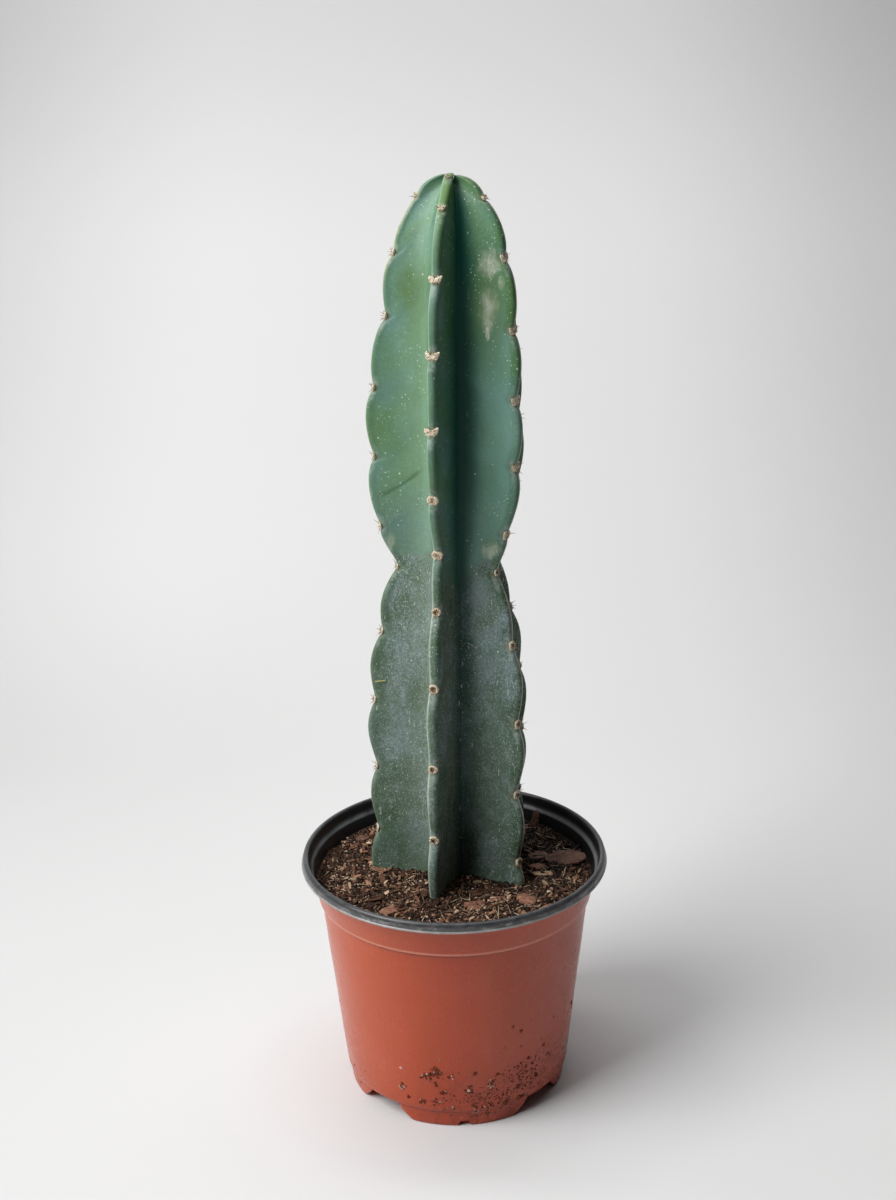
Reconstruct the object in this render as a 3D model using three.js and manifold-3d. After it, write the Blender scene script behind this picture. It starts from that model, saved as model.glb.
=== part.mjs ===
// Potted columnar cactus: a formed nursery pot, its soil, one five-ribbed stem and bark chips
// Millimetres, +Z up, origin at the middle of the pot's base
// Bearings are measured from -Y towards +X, in degrees

import * as THREE from "three";
import { mergeVertices } from "three/addons/utils/BufferGeometryUtils.js";
import Module from "manifold-3d";

const wasm = await Module();
wasm.setup();

// Gap kept between neighbours that touch
const gap = 0.3;

// Pot: a thin formed shell on four hollow feet, with a rolled rim
const pot = {
  sides: 48,
  wall: 1.2,
  height: 130.1,
  rimRadius: 80,
  bandRadius: 75.4,
  ledgeHeight: 122.7,
  shoulderHeight: 107.9,
  shoulderRadius: 70.4,
  shoulderStep: 1.4,
  baseRadius: 59.8,
};
const feet = {
  count: 4,
  bearing: 3,
  height: 10.2,
  outerRadius: 57.9,
  innerRadius: 37,
  rounding: 0.7,
};
// Rolled lip: the outside falls to the skirt's edge, the inside to the ledge
const lip = {
  width: 3.6,
  draft: 0.4,
  skirtDrop: 4.9,
  roundDrop: 1.4,
  edgeDrop: 0.3,
  edgeIn: 1.2,
  topIn: 2,
  fillet: 0.8,
  ledgeRise: 0.7,
};
// Arches between the feet: half width at each height, seen from outside
const arch = {
  line: [[21.5, -1], [20, 0], [17, 1.6], [13, 4.4], [10.2, 7]],
  halfTop: 9.2,
  slantShare: 1.2,
  from: 30,
  to: 70,
};
const drains = {
  archRadius: 48,
  holeRadius: 4.5,
  centreRadius: 6,
  slotWidth: 6.6,
  slotHeight: 3.2,
  slotDepth: 4,
  through: 8,
  sides: 12,
};

// Soil: fills the pot to a little below the rim, with low humps
const soil = {
  level: 117.3,
  edgeDrop: 1.3,
  seatStretch: 3,
  hump: { height: 1.1, along: 17, across: 14, phaseX: 0.6, phaseY: 0.9 },
  ripple: { height: 0.6, along: 7.3, across: 9.1 },
  rings: [72.4, 65, 56, 47, 38, 28, 15],
};

// Stem: leans a little to +X as it rises
const stem = {
  footX: 0.8,
  footY: 7,
  lean: 0.0108,
  tipNotchHeight: 470.2,
  crownHeight: 466.5,
  tipRadius: 2.2,
  notchRadius: 0.9,
  tipFullness: 0.85,
  crestHalf: 2.8,
  crestSwell: 0.5,
  flankHollow: 0.5,
  flankShares: [0.46, 0.9],
  valleyShrinkFrom: 425,
  closedShare: 0.002,
  waistHeight: 288,
  waistSpan: 26,
  waistDepth: 1.6,
  bulgeShare: 0.105,
  bulgePeak: 0.4,
  bulgeRise: 0.6,
  crestShare: 0.36,
  hollowShare: 0.02,
};

// Ribs: crest areoles from the tip down, each [height, distance from the stem's axis], and where
// the scallop below it is fuller than the others, by how much
const ribs = [
  {
    bearing: -16,
    tipHeight: 474.2,
    valley: { bearing: 9, reach: 15.6 },
    areoles: [
      [472.8, 8], [460, 19], [429, 29], [395, 34.5], [360, 37], [327, 36],
      [298, 29.5], [270, 32.5], [232, 38], [190, 40], [151, 40], [113, 40],
    ],
  },
  {
    bearing: 54,
    tipHeight: 472.6,
    valley: { bearing: 90, reach: 16 },
    areoles: [
      [463.5, 18, 1.7], [437, 29.2], [404, 34], [371, 36], [339, 36.2], [304.5, 30.8],
      [284.5, 25.4], [248, 34.5], [207, 38.4], [168, 38], [130, 39.4], [94, 39.4],
    ],
  },
  {
    bearing: 125,
    tipHeight: 468.6,
    valley: { bearing: 161, reach: 15.8 },
    areoles: [
      [461.5, 12], [442, 24], [419, 31.3], [388, 35.8], [354, 38.6], [320, 37.4],
      [284, 26.8], [255, 34.6], [221, 41], [186, 42.5], [151, 41], [114, 41],
    ],
  },
  {
    bearing: 198,
    tipHeight: 469.4,
    valley: { bearing: 235, reach: 15.6 },
    areoles: [
      [465, 11], [446, 24], [417, 31.5], [383, 36], [349, 38], [315, 36],
      [290, 28], [262, 33.5], [225, 39.5], [188, 41], [152, 41], [116, 41],
    ],
  },
  {
    bearing: 273,
    tipHeight: 473,
    valley: { bearing: 308, reach: 16.8 },
    areoles: [
      [464, 17], [438.6, 27.6], [409, 31.8], [375, 38.2], [341, 38.6], [306, 36],
      [284.5, 28, 1.45], [250.6, 36.4], [213.7, 40.7], [176.5, 40.4], [141, 40.4], [104, 41],
    ],
  },
];

// Rows along the stem: shares of a scallop, steps over the tip, and the buried end
const scallopSteps = [0.14, 0.4, 0.72];
const tipSteps = [0.35, 0.7, 1];
const buriedRows = [[88, 0.98], [80, 0.9], [75, 0.72], [73, 0.42]];
const buriedEnd = 72.4;

// Areoles and spines on the crests
const areole = {
  across: 2.9,
  along: 2.4,
  raised: 0.9,
  sunk: 1.8,
  taper: 0.6,
  fullReach: 12,
  clearOfSoil: 5,
};
const spine = {
  perAreole: 2,
  radius: 0.34,
  shortest: 3.4,
  longest: 5.6,
  root: 1.6,
  apart: 0.8,
  spread: 0.75,
  leastSpread: 0.3,
  swing: 1.4,
  droop: 0.84,
};

// Bark chips that lie on the soil or lean on the pot: place, size, turn and tilts in degrees
const chips = [
  {
    name: "bark_chip_flat",
    at: [59.2, 9.4],
    rise: 2.2,
    size: [22.5, 12.5, 2.2],
    turn: -4,
    tilt: [9, -7],
  },
  {
    name: "bark_chip_dark",
    at: [44.6, 14.5],
    rise: 0.9,
    size: [11, 10, 2],
    turn: 24,
    tilt: [-5, -4],
  },
  {
    name: "bark_chip_upright",
    at: [45.2, 50.2],
    rise: 3.5,
    size: [13.5, 5.5, 2],
    turn: 41,
    tilt: [4, -74],
  },
  {
    name: "bark_chip_pale",
    at: [46.5, -7.6],
    rise: 0.9,
    size: [12, 4.4, 1.9],
    turn: 8,
    tilt: [5, 3],
  },
  {
    name: "bark_chip_round",
    at: [44.2, 0.8],
    rise: 1,
    size: [10, 8, 3],
    turn: 40,
    tilt: [-7, 6],
  },
  {
    name: "bark_chip_front_left",
    at: [10.5, -37.6],
    rise: 0.9,
    size: [13, 7.5, 2.4],
    turn: 20,
    tilt: [10, 4],
  },
  {
    name: "bark_chip_front_middle",
    at: [21.5, -32.5],
    rise: 0.8,
    size: [9.5, 6.5, 2.2],
    turn: -12,
    tilt: [6, -6],
  },
  {
    name: "bark_chip_front_right",
    at: [35.8, -34.5],
    rise: 1.2,
    size: [11, 8.5, 2.6],
    turn: -38,
    tilt: [8, 5],
  },
  {
    name: "bark_chip_left",
    at: [-33, -44],
    rise: 0.9,
    size: [10.5, 6.4, 2.6],
    turn: 28,
    tilt: [7, -4],
  },
  {
    name: "bark_chip_behind",
    at: [-50, 36.5],
    rise: 1.2,
    size: [8, 6.6, 3],
    turn: 60,
    tilt: [-5, 6],
  },
  {
    name: "bark_chip_back",
    at: [12, 58.5],
    rise: 0.9,
    size: [12, 7, 2.2],
    turn: 15,
    tilt: [4, 6],
  },
];

const bark = { corners: 8, uneven: 0.3, ragged: 0.2, blunt: 0.4, square: 0.7, seat: 0.05, seed: 31 };

const materials = {
  pot: new THREE.MeshStandardMaterial({ color: 0xa9553d, roughness: 0.42, metalness: 0 }),
  soil: new THREE.MeshStandardMaterial({ color: 0x4d382b, roughness: 0.95, metalness: 0 }),
  stem: new THREE.MeshStandardMaterial({ color: 0x5d7f66, roughness: 0.55, metalness: 0 }),
  bark: new THREE.MeshStandardMaterial({ color: 0x5c4033, roughness: 0.9, metalness: 0 }),
};

const radians = THREE.MathUtils.degToRad;
const mix = THREE.MathUtils.lerp;

// Repeatable random numbers from 0 to 1
function seeded(seed) {
  let state = seed;
  return () => {
    state = (state * 1664525 + 1013904223) % 4294967296;
    return state / 4294967296;
  };
}

// Closed solid from a three.js geometry, with shared corners merged and collapsed faces left out
function solidFrom(geometry) {
  const bare = geometry.clone();
  bare.deleteAttribute("normal");
  bare.deleteAttribute("uv");
  const merged = mergeVertices(bare, 1e-4);
  const corners = merged.index.array;
  const kept = [];
  for (let i = 0; i < corners.length; i += 3) {
    const [a, b, c] = corners.slice(i, i + 3);
    if (a !== b && b !== c && c !== a) kept.push(a, b, c);
  }
  const mesh = new wasm.Mesh({
    numProp: 3,
    vertProperties: new Float32Array(merged.attributes.position.array),
    triVerts: new Uint32Array(kept),
  });
  mesh.merge();
  return new wasm.Manifold(mesh);
}

// Named mesh from a solid
function meshFrom(name, solid, material) {
  const { vertProperties, triVerts } = solid.getMesh();
  const geometry = new THREE.BufferGeometry();
  geometry.setAttribute("position", new THREE.BufferAttribute(new Float32Array(vertProperties), 3));
  geometry.setIndex(new THREE.BufferAttribute(new Uint32Array(triVerts), 1));
  geometry.computeVertexNormals();
  const mesh = new THREE.Mesh(geometry, material);
  mesh.name = name;
  return mesh;
}

// Body of revolution about Z from [radius, height] pairs, bottom to top
function turned(outline, sides) {
  const points = outline.map(([radius, height]) => new THREE.Vector2(radius, height));
  return new THREE.LatheGeometry(points, sides).rotateX(Math.PI / 2);
}

// Radius of the lip's inner side
function lipInside() {
  return pot.rimRadius - lip.draft - lip.width;
}

// Outside of the pot as one full body
function potOutside() {
  const { height, rimRadius, bandRadius, ledgeHeight, wall, baseRadius } = pot;
  const { shoulderHeight, shoulderRadius, shoulderStep } = pot;
  const { draft, fillet } = lip;
  const throat = lipInside() + wall;
  const under = height - wall;
  return turned([
    [0, feet.height - wall],
    [baseRadius - wall, feet.height - wall],
    [baseRadius, feet.height],
    [shoulderRadius, shoulderHeight],
    [shoulderRadius + shoulderStep, shoulderHeight + fillet],
    [bandRadius, ledgeHeight],
    [throat, ledgeHeight + lip.ledgeRise + draft],
    [throat + draft, under - fillet],
    [throat + 2 * draft, under],
    [rimRadius - wall - fillet, under - draft],
    [rimRadius - wall, height - lip.skirtDrop],
    [rimRadius, height - lip.skirtDrop],
    [rimRadius - draft, height - lip.roundDrop],
    [rimRadius - lip.edgeIn, height - lip.edgeDrop],
    [rimRadius - lip.topIn, height],
    [0, height],
  ], pot.sides);
}

// Inside line of the pot's wall from the floor to the ledge, drawn in by a clearance
function wallLine(clearance) {
  const { baseRadius, shoulderRadius, shoulderHeight, shoulderStep, ledgeHeight, bandRadius } = pot;
  const inset = pot.wall + clearance;
  const { draft, fillet } = lip;
  return [
    [0, feet.height + clearance],
    [baseRadius - inset - pot.wall, feet.height + clearance],
    [baseRadius - inset, feet.height + pot.wall + clearance],
    [shoulderRadius - inset, shoulderHeight - draft],
    [shoulderRadius + shoulderStep - inset, shoulderHeight + fillet],
    [bandRadius - inset, ledgeHeight],
  ];
}

// Hollow of the pot as one full body, open past the rim
function potInside() {
  const { height, ledgeHeight, wall } = pot;
  const { fillet } = lip;
  const throat = lipInside();
  return turned([
    ...wallLine(0),
    [throat - fillet, ledgeHeight + lip.ledgeRise],
    [throat, height - wall],
    [throat + fillet, height + gap],
    [throat + fillet, height + wall],
    [0, height + wall],
  ], pot.sides);
}

// Ring that the feet are cut from, drawn in by an inset
function footRing(inset, top) {
  const outer = feet.outerRadius - inset;
  const inner = feet.innerRadius + inset;
  return turned([
    [inner, inset],
    [outer - feet.rounding, inset],
    [outer, inset + feet.rounding],
    [outer, top],
    [inner, top],
    [inner, inset],
  ], pot.sides);
}

// Arch between two feet, as a bar along a bearing that is wider by an inset
function archBody(bearing, inset) {
  const ceiling = feet.height - pot.wall + inset;
  const wider = arch.slantShare * inset;
  const half = [...arch.line.map(([x, y]) => [x + wider, y]), [arch.halfTop + inset, ceiling]];
  const corners = [...half, ...half.map(([x, y]) => [-x, y]).reverse()];
  const outline = new THREE.Shape(corners.map(([x, y]) => new THREE.Vector2(x, y)));
  const bar = new THREE.ExtrudeGeometry(outline, { depth: arch.to - arch.from, bevelEnabled: false });
  return bar.translate(0, 0, arch.from).rotateX(Math.PI / 2).rotateZ(radians(bearing));
}

// Bearing of a foot's middle
function footBearing(index) {
  return feet.bearing + (360 / feet.count) * index;
}

// Bearing of the arch that follows a foot
function archBearing(index) {
  return footBearing(index) + 180 / feet.count;
}

// A body with the feet, or their hollows, joined under it
function withFeet(body, inset) {
  let ring = solidFrom(footRing(inset, feet.height + inset));
  for (let i = 0; i < feet.count; i += 1) ring = ring.subtract(solidFrom(archBody(archBearing(i), inset)));
  return body.add(ring);
}

// Holes that let water out: one in each arch, one in the middle, a slot in each foot's edge
function drainBodies() {
  const bodies = [];
  const { through, sides } = drains;
  const centre = new THREE.CylinderGeometry(drains.centreRadius, drains.centreRadius, through, sides);
  bodies.push(centre.rotateX(Math.PI / 2).translate(0, 0, feet.height));
  for (let i = 0; i < feet.count; i += 1) {
    const hole = new THREE.CylinderGeometry(drains.holeRadius, drains.holeRadius, through, sides);
    hole.rotateX(Math.PI / 2).translate(0, -drains.archRadius, feet.height);
    bodies.push(hole.rotateZ(radians(archBearing(i))));
    const slot = new THREE.BoxGeometry(drains.slotWidth, drains.slotDepth, 2 * drains.slotHeight);
    bodies.push(slot.translate(0, -feet.outerRadius, 0).rotateZ(radians(footBearing(i))));
  }
  return bodies.map(solidFrom);
}

function makePot() {
  const outside = withFeet(solidFrom(potOutside()), 0);
  const inside = withFeet(solidFrom(potInside()), pot.wall);
  return drainBodies().reduce((body, drain) => body.subtract(drain), outside.subtract(inside));
}

// Height of the soil's surface above a place on it
function soilHeight(x, y) {
  const rim = (Math.hypot(x, y) / soil.rings[0]) ** 4;
  const { hump, ripple } = soil;
  const wave = Math.sin(x / hump.along + hump.phaseX) * Math.cos(y / hump.across - hump.phaseY);
  const humps = hump.height * wave;
  const ripples = ripple.height * Math.sin(x / ripple.along - y / ripple.across);
  return soil.level - soil.edgeDrop * rim + Math.max(1 - rim, 0) * (humps + ripples);
}

// Soil as one full body with its relief, before anything is set in it
function soilBody() {
  const line = wallLine(gap).slice(0, -1);
  const surface = soil.rings.map((radius) => [radius, soil.level]);
  const geometry = turned([...line, ...surface, [0, soil.level]], pot.sides);
  const places = geometry.attributes.position;
  for (let i = 0; i < places.count; i += 1) {
    if (places.getZ(i) < soil.level - 1e-3) continue;
    places.setZ(i, soilHeight(places.getX(i), places.getY(i)));
  }
  return withFeet(solidFrom(geometry), pot.wall + gap);
}

// Smooth value between listed ones, at a fractional place in the list
function smoothAt(values, place) {
  const i = Math.min(Math.floor(place), values.length - 2);
  const t = place - i;
  const before = values[Math.max(i - 1, 0)];
  const after = values[Math.min(i + 2, values.length - 1)];
  const [start, end] = [values[i], values[i + 1]];
  const startSlope = (end - before) / 2;
  const endSlope = (after - start) / 2;
  const cubic = 2 * (start - end) + startSlope + endSlope;
  const square = 3 * (end - start) - 2 * startSlope - endSlope;
  return ((cubic * t + square) * t + startSlope) * t + start;
}

// Swelling of a crest between two areoles: quick below the upper one, slow to the lower one
function bulge(share) {
  const { bulgeRise, bulgePeak } = stem;
  const fall = (bulgeRise * (1 - bulgePeak)) / bulgePeak;
  const shape = (t) => t ** bulgeRise * (1 - t) ** fall;
  return shape(share) / shape(bulgePeak);
}

// Axis of the stem at a height
function axisX(height) {
  return stem.footX + stem.lean * (height - soil.level);
}

// Point beside the axis: along a bearing and across it
function besideAxis(bearing, along, across, height) {
  const angle = radians(bearing);
  const x = axisX(height) + along * Math.sin(angle) + across * Math.cos(angle);
  const y = stem.footY - along * Math.cos(angle) + across * Math.sin(angle);
  return new THREE.Vector3(x, y, height);
}

// Depth of the valleys at a height: even, with a waist, and closing at the tip
function valleyAt(height, reach) {
  const waist = Math.exp(-(((height - stem.waistHeight) / stem.waistSpan) ** 2));
  const even = reach - stem.waistDepth * waist;
  const share = (height - stem.valleyShrinkFrom) / (stem.tipNotchHeight - stem.valleyShrinkFrom);
  return share <= 0 ? even : even * Math.sqrt(Math.max(1 - share ** 2, stem.closedShare));
}

// Crest of a rib at a row: areole number plus the share of the way to the next one
function crestAt(rib, row) {
  const heights = rib.areoles.map(([height]) => height);
  const reaches = rib.areoles.map(([, reach]) => reach);
  const i = Math.min(Math.floor(row), heights.length - 2);
  const share = row - i;
  const swell = share > 0 && share < 1 ? bulge(share) : 0;
  const height = mix(heights[i], heights[i + 1], share);
  const fuller = rib.areoles[i][2] ?? 1;
  const size = stem.bulgeShare * fuller * (heights[i] - heights[i + 1]);
  const reach = smoothAt(reaches, row) + size * swell;
  return { height, reach, half: stem.crestHalf + stem.crestSwell * swell };
}

// Crest and valley over the tip, as a quarter turn from the first row to the crown
function overTip(start, topHeight, topReach, share) {
  const angle = (share * Math.PI) / 2;
  const height = mix(start.height, topHeight, Math.sin(angle) ** stem.tipFullness);
  const reach = mix(topReach, start.reach, Math.cos(angle) ** stem.tipFullness);
  return { ...start, height, reach };
}

// Points of half a rib, from its crest to its valley, on one side
function halfRib(rib, side, crest, valley, valleyBearing) {
  const half = Math.min(crest.half, crest.reach * stem.crestShare);
  const quarter = Math.SQRT1_2;
  const place = (along, across) => besideAxis(rib.bearing, along, side * across, crest.height);
  const round = place(crest.reach - half * (1 - quarter), half * quarter);
  const shoulder = place(crest.reach - half, half);
  const bottom = besideAxis(valleyBearing, valley.reach, 0, valley.height);
  const angle = radians(rib.bearing);
  const sideways = new THREE.Vector3(Math.cos(angle), Math.sin(angle), 0);
  const depth = -side * Math.min(stem.flankHollow, crest.reach * stem.hollowShare);
  const flank = stem.flankShares.map((share) => {
    const point = shoulder.clone().lerp(bottom, share);
    return point.addScaledVector(sideways, depth * Math.sin(Math.PI * share));
  });
  return { round, shoulder, flank, bottom };
}

// One row round the stem, from the first rib's valley-side point on
function stemRow(crests, valleys) {
  const row = [];
  ribs.forEach((rib, k) => {
    const before = (k + ribs.length - 1) % ribs.length;
    const left = halfRib(rib, -1, crests[k], valleys[before], ribs[before].valley.bearing);
    const right = halfRib(rib, 1, crests[k], valleys[k], rib.valley.bearing);
    row.push(left.bottom, ...left.flank.reverse(), left.shoulder, left.round);
    row.push(besideAxis(rib.bearing, crests[k].reach, 0, crests[k].height));
    row.push(right.round, right.shoulder, ...right.flank);
  });
  return row;
}

// Valleys between neighbours, from their crests' heights
function valleysBetween(crests) {
  return crests.map((crest, k) => {
    const height = (crest.height + crests[(k + 1) % crests.length].height) / 2;
    return { height, reach: valleyAt(height, ribs[k].valley.reach) };
  });
}

// Rows of the stem from its buried end to its crown
function stemRows() {
  const last = ribs[0].areoles.length - 1;
  const rows = [];
  for (let i = 0; i < last; i += 1) rows.push(i, ...scallopSteps.map((step) => i + step));
  rows.push(last);
  const standing = rows.map((row) => {
    const crests = ribs.map((rib) => crestAt(rib, row));
    return stemRow(crests, valleysBetween(crests));
  });
  const topCrests = ribs.map((rib) => crestAt(rib, 0));
  const topValleys = valleysBetween(topCrests);
  const tip = tipSteps.map((share) => stemRow(
    topCrests.map((crest, k) => overTip(crest, ribs[k].tipHeight, stem.tipRadius, share)),
    topValleys.map((valley) => overTip(valley, stem.tipNotchHeight, stem.notchRadius, share)),
  ));
  const lowCrests = ribs.map((rib) => crestAt(rib, last));
  const buried = buriedRows.map(([height, size]) => stemRow(
    lowCrests.map((crest) => ({ height, reach: crest.reach * size, half: crest.half * size })),
    ribs.map(({ valley }) => ({ height, reach: valley.reach * size })),
  ));
  return [...buried.reverse(), ...standing.reverse(), ...tip];
}

// Body of the stem without areoles, as a turned grid moved onto the rows
function stemBody(clearance) {
  const rows = stemRows();
  const around = rows[0].length;
  const levels = rows.length + 2;
  const outline = Array.from({ length: levels }, (_, j) => {
    const onAxis = j === 0 || j === levels - 1;
    return new THREE.Vector2(onAxis ? 0 : 1, j);
  });
  const geometry = new THREE.LatheGeometry(outline, around);
  const places = geometry.attributes.position;
  const ends = [buriedEnd - clearance, stem.crownHeight];
  for (let i = 0; i <= around; i += 1) {
    for (let j = 0; j < levels; j += 1) {
      const row = rows[j - 1];
      const end = j === 0 ? ends[0] : ends[1];
      const point = row ? row[i % around].clone() : new THREE.Vector3(axisX(end), stem.footY, end);
      if (row && clearance > 0) pushOut(point, rows[j - 1], i % around, clearance);
      places.setXYZ(i * levels + j, point.x, point.y, point.z);
    }
  }
  return solidFrom(geometry);
}

// Move a point of a row outwards, square to the row's outline there
function pushOut(point, row, i, distance) {
  const before = row[(i + row.length - 1) % row.length];
  const after = row[(i + 1) % row.length];
  const incoming = new THREE.Vector2(row[i].x - before.x, row[i].y - before.y).normalize();
  const outgoing = new THREE.Vector2(after.x - row[i].x, after.y - row[i].y).normalize();
  const along = incoming.clone().add(outgoing).normalize();
  const stretch = 1 / Math.max(along.dot(incoming), 1 / soil.seatStretch);
  point.x += along.y * distance * stretch;
  point.y -= along.x * distance * stretch;
}

// Felted pad in the notch of a crest: a blunt six-sided cone on its side
function areoleBody(rib, height, reach) {
  const { across, along, raised, sunk, taper } = areole;
  const small = Math.min(1, reach / areole.fullReach);
  const pad = new THREE.CylinderGeometry(taper, 1, raised + sunk, 6).rotateX(Math.PI);
  pad.scale(across * small, 1, along * small);
  const centre = besideAxis(rib.bearing, reach + (raised - sunk) / 2, 0, height);
  return solidFrom(pad.rotateZ(radians(rib.bearing)).translate(centre.x, centre.y, centre.z));
}

// Short spines of one areole, spread to both sides and a little up or down
function spineBodies(rib, height, reach, random) {
  const bodies = [];
  const up = new THREE.Vector3(0, 1, 0);
  const angle = radians(rib.bearing);
  const outward = new THREE.Vector3(Math.sin(angle), -Math.cos(angle), 0);
  const sideways = new THREE.Vector3(Math.cos(angle), Math.sin(angle), 0);
  for (let i = 0; i < spine.perAreole; i += 1) {
    const side = i % 2 === 0 ? 1 : -1;
    const length = mix(spine.shortest, spine.longest, random());
    const direction = outward.clone()
      .addScaledVector(sideways, side * (spine.leastSpread + spine.spread * random()))
      .addScaledVector(new THREE.Vector3(0, 0, 1), spine.swing * random() - spine.droop)
      .normalize();
    const needle = new THREE.ConeGeometry(spine.radius, length, 3).translate(0, length / 2 - spine.root, 0);
    needle.applyQuaternion(new THREE.Quaternion().setFromUnitVectors(up, direction));
    const root = besideAxis(rib.bearing, reach + areole.raised, side * spine.apart, height);
    bodies.push(solidFrom(needle.translate(root.x, root.y, root.z)));
  }
  return bodies;
}

function makeStem() {
  const random = seeded(11);
  const lowest = soil.level + areole.clearOfSoil;
  let body = stemBody(0);
  for (const rib of ribs) {
    for (const [height, reach] of rib.areoles) {
      if (height < lowest) continue;
      body = body.add(areoleBody(rib, height, reach));
      for (const needle of spineBodies(rib, height, reach, random)) body = body.add(needle);
    }
  }
  return body;
}

// Ragged flat piece of bark round its own middle, grown by a clearance on all sides
function chipGeometry(size, seed, clearance) {
  const random = seeded(seed);
  const [length, width, thickness] = size;
  const { corners, uneven, ragged, blunt } = bark;
  const outline = Array.from({ length: corners }, (_, i) => {
    const angle = ((i + uneven * (random() - 0.5)) / corners) * 2 * Math.PI;
    const reach = 1 - ragged * random();
    const stretch = 1 + clearance / (blunt * width);
    const x = Math.sign(Math.cos(angle)) * Math.abs(Math.cos(angle)) ** bark.square;
    const y = Math.sin(angle);
    return new THREE.Vector2(x * length, y * width).multiplyScalar((reach * stretch) / 2);
  });
  const depth = thickness + 2 * clearance;
  const body = new THREE.ExtrudeGeometry(new THREE.Shape(outline), { depth, bevelEnabled: false });
  return body.translate(0, 0, -depth / 2);
}

function makeChip(chip, index) {
  const mesh = new THREE.Mesh(chipGeometry(chip.size, bark.seed + index, 0), materials.bark);
  mesh.name = chip.name;
  const [x, y] = chip.at;
  mesh.position.set(x, y, soilHeight(x, y) + chip.rise);
  mesh.rotation.set(radians(chip.tilt[0]), radians(chip.tilt[1]), radians(chip.turn), "ZYX");
  mesh.updateMatrixWorld();
  return mesh;
}

// Soil with plain seats cut for the stem and the chips, each a little wider than what sits there
function makeSoil(chipMeshes) {
  let body = soilBody().subtract(stemBody(gap));
  chipMeshes.forEach((mesh, index) => {
    const grown = chipGeometry(chips[index].size, bark.seed + index, gap + bark.seat);
    body = body.subtract(solidFrom(grown.applyMatrix4(mesh.matrixWorld)));
  });
  return body;
}

const chipMeshes = chips.map(makeChip);
const group = new THREE.Group();
group.add(meshFrom("pot", makePot(), materials.pot));
group.add(meshFrom("soil", makeSoil(chipMeshes), materials.soil));
group.add(meshFrom("stem", makeStem(), materials.stem));
group.add(...chipMeshes);

export default group;
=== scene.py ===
import math
import bpy
import numpy as np
from mathutils import Matrix, Vector, noise


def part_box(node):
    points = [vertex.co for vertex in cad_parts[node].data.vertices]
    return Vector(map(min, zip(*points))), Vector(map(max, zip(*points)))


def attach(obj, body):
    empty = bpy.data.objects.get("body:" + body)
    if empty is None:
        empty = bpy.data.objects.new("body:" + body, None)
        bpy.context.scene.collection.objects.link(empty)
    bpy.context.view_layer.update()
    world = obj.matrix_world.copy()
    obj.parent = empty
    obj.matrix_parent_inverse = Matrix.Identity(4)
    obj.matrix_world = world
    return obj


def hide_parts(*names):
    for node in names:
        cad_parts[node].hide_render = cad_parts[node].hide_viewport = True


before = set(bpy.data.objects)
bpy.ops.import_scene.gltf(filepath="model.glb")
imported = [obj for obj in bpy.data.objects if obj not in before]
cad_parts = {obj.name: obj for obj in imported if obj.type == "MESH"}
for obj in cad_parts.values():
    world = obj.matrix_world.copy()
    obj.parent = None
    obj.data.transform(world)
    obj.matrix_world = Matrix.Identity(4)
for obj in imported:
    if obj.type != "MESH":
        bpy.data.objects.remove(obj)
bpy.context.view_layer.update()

mm = 0.001

# Small helpers used by every piece


def selectOnly(piece):
    bpy.ops.object.select_all(action="DESELECT")
    piece.select_set(True)
    bpy.context.view_layer.objects.active = piece


def startFrom(primitive, **settings):
    bpy.ops.object.select_all(action="DESELECT")
    primitive(**settings)
    return bpy.context.active_object


def linkNew(name, data):
    piece = bpy.data.objects.new(name, data)
    bpy.context.scene.collection.objects.link(piece)
    return piece


def editAll(piece, action="SELECT"):
    selectOnly(piece)
    bpy.ops.object.mode_set(mode="EDIT")
    bpy.ops.mesh.select_all(action=action)


def objectMode():
    bpy.ops.object.mode_set(mode="OBJECT")


def shadeSmooth(piece, angle=None):
    selectOnly(piece)
    if angle is None:
        bpy.ops.object.shade_smooth()
    else:
        bpy.ops.object.shade_smooth_by_angle(angle=math.radians(angle))


def applyModifier(piece, kind, **settings):
    selectOnly(piece)
    modifier = piece.modifiers.new(kind.lower(), kind)
    for key, value in settings.items():
        setattr(modifier, key, value)
    bpy.ops.object.modifier_apply(modifier=modifier.name)


def getPoints(mesh):
    points = np.empty(len(mesh.vertices) * 3)
    mesh.vertices.foreach_get("co", points)
    return points.reshape(-1, 3)


def setPoints(mesh, points):
    mesh.vertices.foreach_set("co", np.ascontiguousarray(points, float).ravel())
    mesh.update()


def setTone(mesh, values):
    tone = mesh.attributes.new("tone", "FLOAT", "POINT")
    tone.data.foreach_set("value", values.astype(np.float32))


def tidyNormals(piece, mergeDistance=1e-6):
    editAll(piece)
    bpy.ops.mesh.remove_doubles(threshold=mergeDistance)
    bpy.ops.mesh.normals_make_consistent(inside=False)
    objectMode()


def joinPieces(pieces):
    selectOnly(pieces[0])
    for piece in pieces[1:]:
        piece.select_set(True)
    bpy.ops.object.join()
    return bpy.context.active_object


def keepPiece(piece, name, slotName, *nodes):
    piece.name = name
    piece.data.name = name
    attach(piece, "root")
    if nodes:
        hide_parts(*nodes)
    print("  piece", name, len(piece.data.polygons), "faces")


# Smooth seeded noise in -1..1 on a square lattice, for whole arrays at once
def latticeNoise(x, y, cell, seed):
    size = 128
    lattice = np.random.RandomState(seed).uniform(-1, 1, (size, size))
    u, v = np.asarray(x) / cell, np.asarray(y) / cell
    i, j = np.floor(u).astype(int), np.floor(v).astype(int)
    fu, fv = u - i, v - j
    fu, fv = fu * fu * (3 - 2 * fu), fv * fv * (3 - 2 * fv)
    a, b = (lattice[i % size, n % size] * (1 - fu) + lattice[(i + 1) % size, n % size] * fu
            for n in (j, j + 1))
    return a * (1 - fv) + b * fv


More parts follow.
